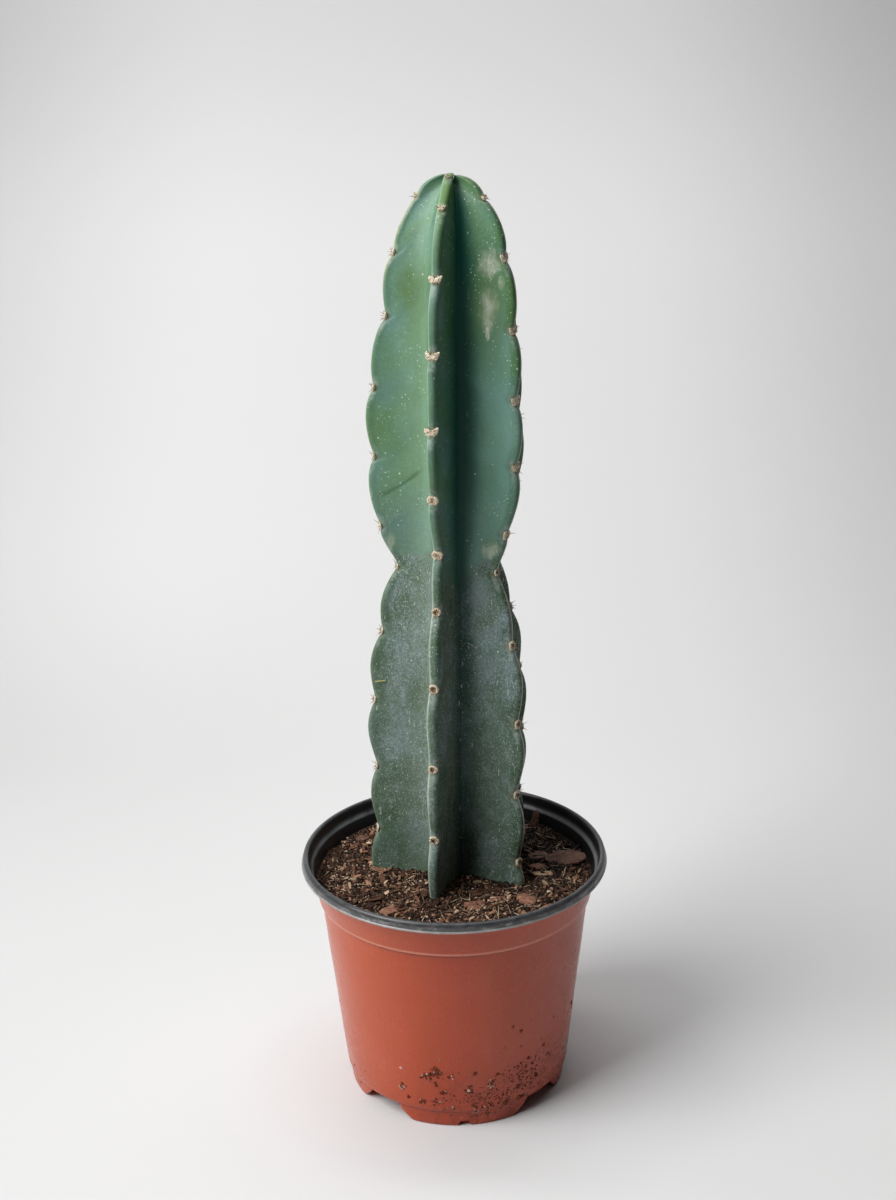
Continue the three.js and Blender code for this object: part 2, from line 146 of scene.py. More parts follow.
# Unit vectors outward and sideways at a bearing, seen from above
def outAndSide(bearing):
    b = math.radians(bearing)
    return np.array([math.sin(b), -math.cos(b), 0]), np.array([math.cos(b), math.sin(b), 0])


# Many small copies of a model as one mesh, each turned, sized and toned on its own; uses the model up
def copiesAsOne(model, name, places, turns, sizes, tones):
    points = getPoints(model.data)
    faces = [tuple(p.vertices) for p in model.data.polygons]
    bpy.data.objects.remove(model, do_unlink=True)
    count = len(points)
    moved = np.einsum("nij,nvj->nvi", turns, points[None] * (sizes * mm)[:, None]) + (places * mm)[:, None]
    mesh = bpy.data.meshes.new(name)
    mesh.from_pydata(moved.reshape(-1, 3).tolist(), [],
                     [tuple(v + k * count for v in face) for k in range(len(places)) for face in faces])
    setTone(mesh, np.repeat(tones, count))
    return linkNew(name, mesh)


# The same from rows of (place, turn, size, tone)
def copiesFromRows(model, name, rows):
    return copiesAsOne(model, name, *(np.array(column) for column in zip(*rows)))


def anySpin(rng):
    return np.array(Matrix.Rotation(rng.uniform(0, 6.28), 3, "Z"))


def turnAlong(direction, rng):
    return np.array(Vector(direction).to_track_quat("Z", "Y").to_matrix()) @ anySpin(rng)


def randomTurns(rng, count, flat):
    turns = []
    for _ in range(count):
        x, y, z = Vector((rng.normal() * flat, rng.normal() * flat, rng.uniform(-math.pi, math.pi)))
        turns.append(np.array(Matrix.Rotation(z, 3, "Z") @ Matrix.Rotation(x, 3, "X")
                              @ Matrix.Rotation(y, 3, "Y")))
    return np.array(turns)


# Curves laid through points and made one mesh of tubes, with a radius at each point
def tubesAlong(name, lines, bevel, resolution):
    curves = bpy.data.curves.new(name, "CURVE")
    curves.dimensions = "3D"
    curves.bevel_depth = bevel * mm
    curves.bevel_resolution = 1
    curves.use_fill_caps = True
    curves.resolution_u = resolution
    for places, radii in lines:
        spline = curves.splines.new("NURBS")
        spline.points.add(len(places) - 1)
        for point, (x, y, z), radius in zip(spline.points, places, radii):
            point.co = (x * mm, y * mm, z * mm, 1)
            point.radius = radius
        spline.order_u = 3
        spline.use_endpoint_u = True
    selectOnly(linkNew(name, curves))
    bpy.ops.object.convert(target="MESH")
    tubes = bpy.context.active_object
    tubes.data.materials.clear()
    shadeSmooth(tubes)
    return tubes


# Shader helpers: each adds its nodes to the tree that the given socket belongs to


def setInputs(node, inputs):
    for key, value in inputs.items():
        socket = node.inputs[key]
        if isinstance(value, bpy.types.NodeSocket):
            node.id_data.links.new(value, socket)
        else:
            socket.default_value = (*value, 1) if socket.type == "RGBA" else value


def addNode(source, kind, inputs=None, **settings):
    node = source.id_data.nodes.new(kind)
    for key, value in settings.items():
        setattr(node, key, value)
    setInputs(node, inputs or {})
    return node


def mathNode(operation, first, *others):
    for value in others or (0.0,):
        source = first if isinstance(first, bpy.types.NodeSocket) else value
        first = addNode(source, "ShaderNodeMath", {0: first, 1: value}, operation=operation).outputs[0]
    return first


def times(*values):
    return mathNode("MULTIPLY", *values)


def plus(*values):
    return mathNode("ADD", *values)


def less(a, b):
    return mathNode("SUBTRACT", a, b)


def most(*values):
    return mathNode("MAXIMUM", *values)


def absolute(a):
    return mathNode("ABSOLUTE", a)


# The value times a share, and a start added to it
def linear(value, share, start):
    return plus(times(value, share), start)


def vectorNode(operation, a, b=(0, 0, 0)):
    return addNode(a, "ShaderNodeVectorMath", {0: a, 1: b}, operation=operation).outputs


def span(value, low, high, toLow=0.0, toHigh=1.0, smooth=True):
    return addNode(value, "ShaderNodeMapRange",
                   {"Value": value, "From Min": low, "From Max": high, "To Min": toLow, "To Max": toHigh},
                   interpolation_type="SMOOTHSTEP" if smooth else "LINEAR").outputs["Result"]


# Full between the two inner values, nothing beyond the outer ones
def window(value, outerA, innerA, outerB, innerB):
    return times(span(value, outerA, innerA), span(value, outerB, innerB))


def mix(factor, a, b):
    return addNode(factor, "ShaderNodeMix", {0: factor, 6: a, 7: b}, data_type="RGBA").outputs[2]


# A colour with others laid over it, as (share, colour)
def layered(colour, layers):
    for share, over in layers:
        colour = mix(share, colour, over)
    return colour


def ramp(value, stops):
    node = addNode(value, "ShaderNodeValToRGB", {"Fac": value})
    elements = node.color_ramp.elements
    while len(elements) < len(stops):
        elements.new(0.5)
    for element, (place, colour) in zip(elements, stops):
        element.position = place
        element.color = (*colour, 1)
    return node.outputs["Color"]


def noiseAt(vector, scale, detail=2.0, roughness=0.5, distortion=0.0):
    return addNode(vector, "ShaderNodeTexNoise",
                   {"Vector": vector, "Scale": scale, "Detail": detail, "Roughness": roughness,
                    "Distortion": distortion}).outputs["Fac"]


def mapped(vector, scale=(1, 1, 1), turn=(0, 0, 0), move=(0, 0, 0)):
    return addNode(vector, "ShaderNodeMapping",
                   {"Vector": vector, "Scale": scale, "Rotation": turn, "Location": move}).outputs["Vector"]


def splitXyz(vector):
    return tuple(addNode(vector, "ShaderNodeSeparateXYZ", {"Vector": vector}).outputs)


def toneOf(place):
    return addNode(place, "ShaderNodeAttribute", attribute_name="tone").outputs["Fac"]


def newMaterial(name):
    material = bpy.data.materials.new(name)
    material.use_nodes = True
    tree = material.node_tree
    tree.nodes.clear()
    shader = addNode(tree, "ShaderNodeBsdfPrincipled")
    addNode(tree, "ShaderNodeOutputMaterial", {"Surface": shader.outputs["BSDF"]})
    return material, shader, addNode(tree, "ShaderNodeTexCoord").outputs["Object"]


# Colour, roughness and gloss, and a bump as (height, distance, strength)
def setShader(shader, colour, rough, gloss, bump=None):
    given = {"Base Color": colour, "Roughness": rough, "Specular IOR Level": gloss}
    if bump:
        height, distance, strength = bump
        given["Normal"] = addNode(height, "ShaderNodeBump", {"Height": height, "Distance": distance,
                                                             "Strength": strength}).outputs["Normal"]
    setInputs(shader, given)


def newGroup(name, *labels):
    group = bpy.data.node_groups.new(name, "ShaderNodeTree")
    group.interface.new_socket("Vector", in_out="INPUT", socket_type="NodeSocketVector")
    for label in labels:
        group.interface.new_socket(label, in_out="INPUT", socket_type="NodeSocketFloat")
    group.interface.new_socket("Mask", in_out="OUTPUT", socket_type="NodeSocketFloat")
    return group, addNode(group, "NodeGroupInput").outputs


# Dots of uneven size: cells of noise, a share of them holding a dot
def makeSpeckGroup():
    group, given = newGroup("specks", "Scale", "Size", "Share")
    cells = addNode(group, "ShaderNodeTexVoronoi", {"Vector": given["Vector"], "Scale": given["Scale"]})
    split = addNode(group, "ShaderNodeSeparateColor", {"Color": cells.outputs["Color"]}).outputs
    size = times(given["Size"], span(split["Green"], 0, 1, 0.55, 1.3))
    dot = mathNode("LESS_THAN", cells.outputs["Distance"], size)
    addNode(group, "NodeGroupOutput",
            {"Mask": times(dot, mathNode("LESS_THAN", split["Red"], given["Share"]))})
    return group


# Patches with a soft ragged edge
def makePatchGroup():
    group, given = newGroup("patches", "Scale", "Low", "High", "Ragged")
    texture = noiseAt(given["Vector"], given["Scale"], 5.0, given["Ragged"], 0.3)
    addNode(group, "NodeGroupOutput", {"Mask": span(texture, given["Low"], given["High"])})
    return group


speckGroup = makeSpeckGroup()
patchGroup = makePatchGroup()


def specks(vector, scale, size, share):
    return addNode(vector, "ShaderNodeGroup",
                   {"Vector": vector, "Scale": scale, "Size": size, "Share": share},
                   node_tree=speckGroup).outputs["Mask"]


def patches(vector, scale, low, high, ragged=0.6):
    return addNode(vector, "ShaderNodeGroup", {"Vector": vector, "Scale": scale, "Low": low, "High": high,
                                               "Ragged": ragged}, node_tree=patchGroup).outputs["Mask"]


# Camera, light and floor

cameraSetup = {
    "place": (-0.0008, -0.7816, 0.5335),
    "pitchDown": 18.77,
    "roll": -1.02,
    "lens": 49.68,
}


def makeCamera():
    data = bpy.data.cameras.new("camera")
    data.lens = cameraSetup["lens"]
    data.sensor_width = 36
    data.sensor_fit = "AUTO"
    data.clip_start = 0.01
    data.dof.use_dof = False
    camera = linkNew("camera", data)
    tilt = Matrix.Rotation(math.radians(90 - cameraSetup["pitchDown"]), 4, "X")
    roll = Matrix.Rotation(math.radians(cameraSetup["roll"]), 4, "Z")
    camera.matrix_world = Matrix.Translation(cameraSetup["place"]) @ tilt @ roll
    bpy.context.scene.camera = camera


lightSetup = {
    "key": {"place": (-0.970, -0.520, 1.22), "aim": (0, 0, 0.24), "size": (1.0, 1.1), "power": 27.2,
            "colour": (1.0, 0.998, 0.995)},
    "top": {"place": (0.0, -0.15, 1.9), "aim": (0, 0, 0.24), "size": (1.4, 1.2), "power": 4.6,
            "colour": (1.0, 1.0, 1.0)},
    "backdrop": {"place": (-0.2, 0.35, 1.9), "aim": (-0.14, 1.35, 0.80), "size": (1.6, 0.5), "power": 13.6,
                 "colour": (1.0, 1.0, 1.0)},
    "edge": {"place": (1.0, 0.8, 0.9), "aim": (0, 0, 0.24), "size": (0.9, 0.9), "power": 0.35,
             "colour": (0.96, 0.98, 1.0)},
    "world": (1.0, 1.0, 1.0),
    "worldStrength": 0.02,
}


def makeLights():
    for name in ("key", "top", "backdrop", "edge"):
        given = lightSetup[name]
        data = bpy.data.lights.new(name + "_light", "AREA")
        data.shape = "RECTANGLE"
        data.size, data.size_y = given["size"]
        data.energy = given["power"]
        data.color = given["colour"]
        place = Vector(given["place"])
        turn = (Vector(given["aim"]) - place).to_track_quat("-Z", "Y").to_matrix().to_4x4()
        linkNew(name + "_light", data).matrix_world = Matrix.Translation(place) @ turn
    world = bpy.data.worlds.new("studio")
    world.use_nodes = True
    background = world.node_tree.nodes["Background"].inputs
    background["Color"].default_value = (*lightSetup["world"], 1)
    background["Strength"].default_value = lightSetup["worldStrength"]
    scene = bpy.context.scene
    scene.world = world
    scene.view_settings.view_transform = "Standard"
    scene.view_settings.look = "None"


floorSetup = {
    "halfWidth": 3.0,
    "front": -2.6,
    "wallAt": 1.35,
    "bend": 0.95,
    "wallHeight": 2.6,
    "steps": 14,
    "colour": (0.79, 0.79, 0.79),
}


# Pale sweep: a floor that bends up into the backdrop
def makeFloor():
    half, front, wallAt, bend = (floorSetup[key] for key in ("halfWidth", "front", "wallAt", "bend"))
    floor = startFrom(bpy.ops.mesh.primitive_plane_add, size=2)
    at = Vector((0, wallAt - bend, 0))
    setPoints(floor.data, np.array([(-half, front, 0), (half, front, 0), (-half, at.y, 0), (half, at.y, 0)]))
    editAll(floor, "DESELECT")
    objectMode()
    for vertex in floor.data.vertices:
        vertex.select = vertex.co.y > 0
    for edge in floor.data.edges:
        edge.select = all(floor.data.vertices[v].select for v in edge.vertices)
    bpy.ops.object.mode_set(mode="EDIT")
    steps = floorSetup["steps"]
    for k in range(1, steps + 2):
        angle = min(k, steps) / steps * math.pi / 2
        to = Vector((0, wallAt - bend + bend * math.sin(angle), bend * (1 - math.cos(angle))))
        if k > steps:
            to.z = floorSetup["wallHeight"]
        bpy.ops.mesh.extrude_region_move(TRANSFORM_OT_translate={"value": to - at})
        at = to
    objectMode()
    shadeSmooth(floor)
    floor.name = "studio_floor"
    material, shader, place = newMaterial("studioPaper")
    x, y, z = splitXyz(place)
    # painted shade: the roll is painted greyer to its sides and top, where less lamp light falls, and near
    # the pot a painted green-blue tint takes out part of the red light the pot bounces onto it
    aside = span(absolute(plus(x, 0.02)), 0.20, 0.64)
    paintedFalloff = times(times(aside, span(span(y, 0.1, 0.6), 0, 1, 0.25, 1.0)), 0.22)
    paintedFalloff = plus(paintedFalloff, span(z, 0.28, 0.62, 0.0, 0.17))
    paintedFalloff = plus(paintedFalloff, times(span(x, 0.04, -0.36, 0.0, 0.14), span(y, 0.80, 0.35)))
    fromPot = vectorNode("LENGTH", place)["Value"]
    paper = floorSetup["colour"]
    colour = layered(mix(noiseAt(place, 2.0, 3), tuple(c * 0.985 for c in paper), paper), [
        # painted shade towards the sides and top, then the painted tint near the pot
        (paintedFalloff, (0, 0, 0)),
        (span(fromPot, 0.26, 0.08, 0, 0.5), (0.740, 0.775, 0.780))])
    setShader(shader, colour, 0.7, 0.2)
    floor.data.materials.append(material)


makeCamera()
makeLights()
makeFloor()
print("scene: camera, lights and floor are in place")

# Pot: thin formed shell on four hollow feet, terracotta outside and black inside

potSize = {
    "sides": 256,
    "wall": 1.2,
    "ceiling": 9.0,
    "footBearing": 3.0,
    "footCount": 4,
    # half width of an arch and how far its sides leave the foot's bottom
    "archHalf": (9.0, 9.6, 10.1, 11.0, 12.2, 13.6, 15.2, 16.4, 17.4, 18.2),
    "archLift": (9.2, 8.6, 7.0, 5.7, 4.3, 2.95, 1.6, 0.8, 0.25, 0.0),
    "drainRadius": 4.5,
    "drainAt": 48.0,
    "slot": {"bottom": 9.0, "top": 5.0, "height": 3.2, "depth": 5.0, "radius": 58.0},
    "unevenness": 0.16,
}
# rings from the middle hole's lower edge, out, up the wall, over the lip and down the inside, in runs
# "flat" is a plain ring at a height, "foot" goes from the ceiling (1) to the foot's bottom (0)
ringRuns = [
    ("flat", [
        (6.0, 9.0), (7.2, 9.0), (20, 9.0), (34, 9.0), (35.6, 9.0)]),
    ("foot", [
        (36.4, 0.96), (36.8, 0.8), (36.95, 0.4), (37.1, 0.1), (37.5, 0.02), (38.4, 0), (42, 0), (47, 0),
        (52, 0), (56.2, 0), (57.1, 0.01), (57.55, 0.04), (57.8, 0.1), (57.95, 0.3), (58.05, 0.55),
        (58.15, 0.85), (58.25, 1.0)]),
    ("flat", [
        (58.5, 9.45), (59.0, 9.6), (59.5, 9.85), (59.78, 10.4), (59.95, 12), (60.6, 18), (61.6, 27),
        (62.6, 36),
        (63.56, 45), (64.53, 54), (65.5, 63), (66.5, 72), (67.5, 81), (68.4, 90), (69.3, 98), (69.9, 104),
        (70.25, 107.0), (70.42, 107.75), (70.85, 107.95), (71.6, 108.15), (71.9, 108.55), (71.97, 109.0),
        (72.0, 109.6), (72.25, 110.6), (73.2, 114), (74.25, 118), (75.1, 121.2), (75.7, 123.0), (76.2, 124.2),
        (76.7, 124.9), (77.15, 125.3), (77.3, 126.0), (77.4, 127.5), (77.55, 128.3), (77.8, 128.6),
        (78.1, 128.3), (78.3, 127.2), (78.4, 126.0), (78.6, 125.45), (79.1, 125.2), (79.7, 125.2),
        (79.95, 125.4), (80.0, 125.75), (79.9, 126.05), (79.6, 126.25), (79.45, 126.55), (79.38, 127.1),
        (79.25, 128.2), (79.05, 129.0), (78.7, 129.6), (78.2, 129.95), (77.55, 130.1), (76.9, 129.95),
        (76.4, 129.45), (76.1, 128.6), (75.95, 126.8), (75.65, 124.9), (75.25, 123.95), (74.7, 123.4),
        (74.2, 123.05), (73.85, 122.6), (73.6, 121.9), (72.9, 119.0), (71.7, 113.5), (70.75, 109.4),
        (70.2, 108.2), (69.2, 107.3), (66.3, 81), (63.3, 54), (60.4, 27), (58.75, 12.2), (58.45, 11.1),
        (57.9, 10.6)]),
    ("inner", [
        (57.1, 1.0), (56.85, 0.85), (56.7, 0.1), (56.2, 0.01), (47, 0), (38.9, 0), (38.4, 0.05), (38.2, 0.8),
        (37.6, 1.0)]),
    ("flat", [
        (36, 10.2), (20, 10.2), (6.0, 10.2)]),
]
outerRings = [(kind, *ring) for kind, run in ringRuns for ring in run]
firstWallRing = 22  # the first ring above the feet
# the lip and all that lies inside it are black
lipRing = next(k for k, ring in enumerate(outerRings) if k > firstWallRing and ring[2] > 125.0)


# Height that the arches lift the foot's bottom by
def archLift(x, y, inset):
    lift = np.zeros_like(x)
    for k in range(potSize["footCount"]):
        out, side = outAndSide(potSize["footBearing"] + 45 + 90 * k)
        along = x * out[0] + y * out[1]
        across = np.abs(x * side[0] + y * side[1]) - 1.2 * inset
        lift = np.maximum(lift, np.where(
            along > 20, np.interp(across, potSize["archHalf"], potSize["archLift"]), 0))
    return lift


# Tools that cut a drain in each arch and a tapered slot in each foot's edge
def potCutters():
    cutters = []
    slot = potSize["slot"]
    for k in range(potSize["footCount"]):
        out, _ = outAndSide(potSize["footBearing"] + 45 + 90 * k)
        cutters.append(startFrom(
            bpy.ops.mesh.primitive_cylinder_add, vertices=40, radius=potSize["drainRadius"] * mm,
            depth=8 * mm, location=(out * potSize["drainAt"] + np.array([0, 0, 10])) * mm))
        cutter = startFrom(bpy.ops.mesh.primitive_cube_add, size=1)
        editAll(cutter)
        bpy.ops.mesh.bevel(offset=0.12, segments=3, affect="EDGES")
        objectMode()
        x, y, z = getPoints(cutter.data).T
        x = x * np.where(z > 0, slot["top"], slot["bottom"])
        y = y * slot["depth"] - slot["radius"]
        out, side = outAndSide(potSize["footBearing"] + 90 * k)
        turned = np.outer(x, side) - np.outer(y, out)
        turned[:, 2] = z * 2 * slot["height"]
        setPoints(cutter.data, turned * mm)
        cutters.append(cutter)
    tools = joinPieces(cutters)
    selectOnly(tools)
    bpy.ops.object.transform_apply(location=True, rotation=True, scale=True)
    return tools


def makePot():
    sides = potSize["sides"]
    radius, height = outerRings[0][1:]
    pot = startFrom(bpy.ops.mesh.primitive_circle_add, vertices=sides, radius=radius * mm,
                    location=(0, 0, height * mm))
    bpy.ops.object.transform_apply(location=True)
    editAll(pot)
    for _, nextRadius, _ in outerRings[1:]:
        bpy.ops.mesh.extrude_region_move()
        share = nextRadius / radius
        bpy.ops.transform.resize(value=(share, share, 1), center_override=(0, 0, 0))
        radius = nextRadius
    objectMode()
    # each ring has its own run of vertices, so heights, feet and arches are set ring by ring
    points = getPoints(pot.data).reshape(len(outerRings), sides, 3)
    for k, (kind, radius, value) in enumerate(outerRings):
        angle = np.arctan2(points[k, :, 1], points[k, :, 0])
        radial = np.full(sides, float(radius))
        if kind == "flat":
            if 59.9 < radius < 74.5 and value > 10.5:
                wave = latticeNoise(20 + 9 * np.cos(angle), 20 + 9 * np.sin(angle) + value / 9, 3.1, 5)
                radial += potSize["unevenness"] * wave
            z = np.full(sides, float(value))
        else:
            inset = 0 if kind == "foot" else potSize["wall"]
            top = potSize["ceiling"] + inset
            lift = archLift(radial * np.cos(angle), radial * np.sin(angle), inset)
            low = np.minimum(lift + inset, top)
            z = low + value * (top - low)
        points[k] = np.stack([radial * np.cos(angle), radial * np.sin(angle), z], 1) * mm
    setPoints(pot.data, points.reshape(-1, 3))
    # the first and the last ring close the shell round the middle hole
    editAll(pot, "DESELECT")
    objectMode()
    last = len(pot.data.vertices) - sides
    for edge in pot.data.edges:
        edge.select = max(edge.vertices) < sides or min(edge.vertices) >= last
    bpy.ops.object.mode_set(mode="EDIT")
    bpy.ops.mesh.select_mode(type="EDGE")
    bpy.ops.mesh.bridge_edge_loops()
    bpy.ops.mesh.select_mode(type="VERT")
    objectMode()
    pot.data.materials.append(makeTerracotta())
    pot.data.materials.append(makeBlackPlastic())
    for face in pot.data.polygons:
        face.material_index = 0 if max(face.vertices) // sides < lipRing else 1
    tidyNormals(pot)
    tools = potCutters()
    applyModifier(pot, "BOOLEAN", object=tools, operation="DIFFERENCE", solver="EXACT")
    bpy.data.objects.remove(tools, do_unlink=True)
    shadeSmooth(pot, 42)
    keepPiece(pot, "pot_shell", "pot", "pot")


def makeTerracotta():
    material, shader, place = newMaterial("terracottaPlastic")
    x, y, height = splitXyz(place)
    streak = noiseAt(mapped(place, (1, 1, 0.04)), 330, 3, 0.6)
    # soil dust and rusty spots washed onto the lower wall and the feet, most at the front right
    frontRight = span(less(times(x, 0.60), times(y, 0.80)), 0.022, 0.052, 0.22, 1.0)
    washed = times(span(height, 0.050, 0.006), frontRight)
    dust = times(patches(place, 120, 0.46, 0.64, 0.7), washed)
    ragged = vectorNode("ADD", place, times(noiseAt(place, 800, 2), 0.0012))[0]
    spots = most(specks(ragged, 260, 0.19, 0.42), specks(ragged, 520, 0.26, 0.42))
    spots = times(times(spots, patches(place, 60, 0.40, 0.50)), times(span(height, 0.052, 0.020), frontRight))
    plainWall = ramp(noiseAt(place, 24, 4, 0.6),
                     [(0.3, (0.400, 0.048, 0.012)), (0.7, (0.440, 0.058, 0.016))])
    colour = layered(plainWall, [
        # painted light: lighter and more orange on the left, the side the key lamp lights
        (span(x, 0.004, -0.052, 0, 0.26), (0.70, 0.150, 0.046)),
        # faint upright streaks left by the moulding
        (span(streak, 0.42, 0.70, 0, 0.03), (0.60, 0.135, 0.060)),
        (times(dust, 0.55), (0.21, 0.040, 0.022)),
        (times(washed, 0.30), (0.33, 0.046, 0.020)),
        (times(spots, 0.95), (0.080, 0.014, 0.008)),
        (times(patches(mapped(place, (1, 1, 0.8)), 22, 0.50, 0.85), 0.08), (0.66, 0.36, 0.28)),
        # painted highlight along the step's edge, painted shadow under it, and painted shade in the crease
        # over the feet
        (times(window(height, 0.1080, 0.1087, 0.1102, 0.1090), 0.62), (0.74, 0.30, 0.21)),
        (times(window(height, 0.1062, 0.1074, 0.1084, 0.1079), 0.60), (0.20, 0.030, 0.014)),
        (times(window(height, 0.0078, 0.0088, 0.0104, 0.0095), 0.5), (0.20, 0.036, 0.020))])
    rough = plus(span(noiseAt(place, 60, 3), 0.3, 0.7, 0.24, 0.30), span(streak, 0.35, 0.7, 0.0, 0.015))
    rough = plus(rough, times(most(dust, spots), 0.3))
    relief = plus(noiseAt(place, 900, 3, 0.6), times(noiseAt(place, 45, 2), 4))
    setShader(shader, colour, rough, 0.46, (plus(relief, times(spots, 2)), 0.00010, 0.35))
    return material


def makeBlackPlastic():
    material, shader, place = newMaterial("blackPlastic")
    x, y, height = splitXyz(place)
    radius = mathNode("SQRT", plus(mathNode("POWER", x, 2.0), mathNode("POWER", y, 2.0)))
    onLip = span(radius, 0.0757, 0.0772)
    cloud = noiseAt(place, 70, 4, 0.65)
    scuff = patches(mapped(place, (1, 1, 2.5)), 140, 0.42, 0.75, 0.75)
    # the flange's edge is painted white, partly rubbed and partly a painted highlight; the lip's face and top
    # are grey
    flangeWearAndHighlight = times(times(span(radius, 0.0789, 0.0794), span(height, 0.12655, 0.12610)),
                   span(scuff, 0.1, 0.7, 0.45, 1.0))
    worn = times(times(span(radius, 0.0786, 0.0791), span(height, 0.1288, 0.1272)),
                 span(scuff, 0.0, 0.8, 0.15, 0.90))
    # painted highlight along the inner ledge
    paintedLedgeHighlight = times(times(span(radius, 0.0759, 0.0751), span(height, 0.1221, 0.1228)),
                  span(cloud, 0.3, 0.6, 0.4, 1.0))
    # painted highlight on the lip's rounded top
    paintedTopHighlight = times(span(height, 0.1292, 0.1300), span(cloud, 0.4, 0.7))
    lime = times(patches(mapped(place, (1, 1, 3.0)), 90, 0.55, 0.75), onLip)
    lime = times(lime, span(height, 0.1285, 0.1262))
    lipColour = mix(scuff, (0.040, 0.041, 0.045), (0.095, 0.095, 0.098))
    colour = layered(mix(onLip, (0.010, 0.011, 0.014), lipColour), [
        (flangeWearAndHighlight, (0.60, 0.57, 0.55)),
        (worn, (0.30, 0.295, 0.29)),
        (paintedLedgeHighlight, (0.125, 0.128, 0.135)),
        (times(paintedTopHighlight, 0.5), (0.12, 0.12, 0.12)),
        (times(lime, 0.45), (0.22, 0.20, 0.18)),
        (times(specks(place, 900, 0.2, 0.12), 0.5), (0.12, 0.09, 0.07))])
    rough = plus(span(cloud, 0.3, 0.7, 0.26, 0.36), times(scuff, 0.12))
    setShader(shader, colour, rough, 0.5, (noiseAt(place, 800, 3, 0.6), 0.0001, 0.4))
    return material


makePot()
print("scene: pot is done")

# Stem: five ribs with scalloped crests, as the grown plant

stemSize = {
    "foot": (0.8, 7.0),
    "soilLevel": 117.3,
    "lean": 0.0108,
    "notchHeight": 470.2,
    "notchRadius": 0.9,
    "crownHeight": 466.5,
    "tipRadius": 2.2,
    "crestHalf": (2.05, 2.45),
    "crestSwell": 0.4,
    "crestSquareness": 2.2,
    "flankHollow": 0.5,
    "flankRelief": 0.42,
    "creaseDepth": 0.28,
    "creaseRow": 0.60,
    "valleyRound": 0.9,
    "shrinkFrom": 425.0,
    "waist": (288.0, 26.0, 1.6),
    "bulgeShare": 0.105,
    "bulgePeak": 0.4,
    "bulgeRise": 0.6,
    "rowsPerScallop": 44,
    "tipRows": 16,
    "heelHeight": 72.4,
    # lowest rows under the soil: height and share of the width
    "buried": ((88, 0.98), (80, 0.9), (75, 0.72), (73, 0.42)),
    # where the old growth begins and over how much it takes on
    "oldFrom": 300,
    "oldOver": 30,
}
# each rib: bearing, height of its tip, the valley after it (bearing, reach), and its areoles from
# the tip down as (height, reach, how much fuller the scallop below is)
ribs = [
    {"bearing": -16, "tip": 474.2, "valley": (9, 15.6), "areoles": [
        (472.8, 8), (460, 19), (429, 29), (395, 34.5), (360, 37), (327, 36),
        (298, 29.5), (270, 32.5), (232, 38), (190, 40), (151, 40), (113, 40)]},
    {"bearing": 54, "tip": 473.2, "valley": (90, 16), "areoles": [
        (463.5, 18, 1.7), (437, 29.2), (404, 34), (371, 36), (339, 36.2), (304.5, 30.8),
        (284.5, 25.4), (248, 34.5), (207, 38.4), (168, 38), (130, 39.4), (94, 39.4)]},
    {"bearing": 125, "tip": 468.6, "valley": (161, 15.8), "areoles": [
        (461.5, 12), (442, 24), (419, 31.3), (388, 35.8), (354, 38.6), (320, 37.4),
        (284, 26.8), (255, 34.6), (221, 41), (186, 42.5), (151, 41), (114, 41)]},
    {"bearing": 198, "tip": 469.4, "valley": (235, 15.6), "areoles": [
        (465, 11), (446, 24), (417, 31.5), (383, 36), (349, 38), (315, 36),
        (290, 28), (262, 33.5), (225, 39.5), (188, 41), (152, 41), (116, 41)]},
    {"bearing": 273, "tip": 473.8, "valley": (308, 16.8), "areoles": [
        (464, 17), (438.6, 27.6), (409, 31.8), (375, 38.2), (341, 38.6), (306, 36),
        (284.5, 28, 1.45), (250.6, 36.4), (213.7, 40.7), (176.5, 40.4), (141, 40.4), (104, 41)]},
]
lastRow = len(ribs[0]["areoles"]) - 1


# Smooth curve through values one apart, read at any places
def smoothAt(values, place):
    i = np.minimum(np.floor(place).astype(int), len(values) - 2)
    t = place - i
    values = np.asarray(values, float)
    before, start = values[np.maximum(i - 1, 0)], values[i]
    end, after = values[i + 1], values[np.minimum(i + 2, len(values) - 1)]
    startSlope, endSlope = (end - before) / 2, (after - start) / 2
    return (((2 * (start - end) + startSlope + endSlope) * t + 3 * (end - start)
             - 2 * startSlope - endSlope) * t + startSlope) * t + start


# Swelling of a crest between two areoles: quick below the upper one, slow to the lower one
def bulge(share):
    rise, peak = stemSize["bulgeRise"], stemSize["bulgePeak"]
    fall = rise * (1 - peak) / peak
    return share ** rise * (1 - share) ** fall / (peak ** rise * (1 - peak) ** fall)


# How far the old growth has taken over at a height
def oldShare(height):
    return np.clip((stemSize["oldFrom"] - height) / stemSize["oldOver"], 0, 1)


# A crest's sideways sway along the stem
def crestWobble(height, k):
    return 0.45 * latticeNoise(height, np.full_like(height, 40.0 * k), 17, 3)


# Height, reach, half width and stray from the even line of a rib's crest, for an array of rows
def crestLine(rib, row):
    heights = np.array([a[0] for a in rib["areoles"]], float)
    fuller = np.array([a[2] if len(a) > 2 else 1 for a in rib["areoles"]])
    i = np.minimum(np.floor(row).astype(int), lastRow - 1)
    share = row - i
    # a short flat carries the areole before the crest swells
    swell = bulge(np.clip((share - 0.045) / 0.955, 0, 1))
    height = heights[i] + (heights[i + 1] - heights[i]) * share
    # the old growth has softer notches
    grown = oldShare(height)
    swell = swell + 0.6 * grown * (np.sin(math.pi * np.clip(share, 0, 1) ** 0.85) ** 1.4 - swell)
    size = stemSize["bulgeShare"] * fuller[i] * (heights[i] - heights[i + 1])
    reach = smoothAt([a[1] for a in rib["areoles"]], row) + size * swell
    stray = size * (swell - 0.55)
    # the crest is a little wider where it carries an areole
    near = np.exp(-((np.minimum(share, 1 - share) * (heights[i] - heights[i + 1])) / 3.2) ** 2)
    young, old = stemSize["crestHalf"]
    half = young + (old - young) * grown + stemSize["crestSwell"] * swell + 0.35 * near
    return height, reach, half, stray


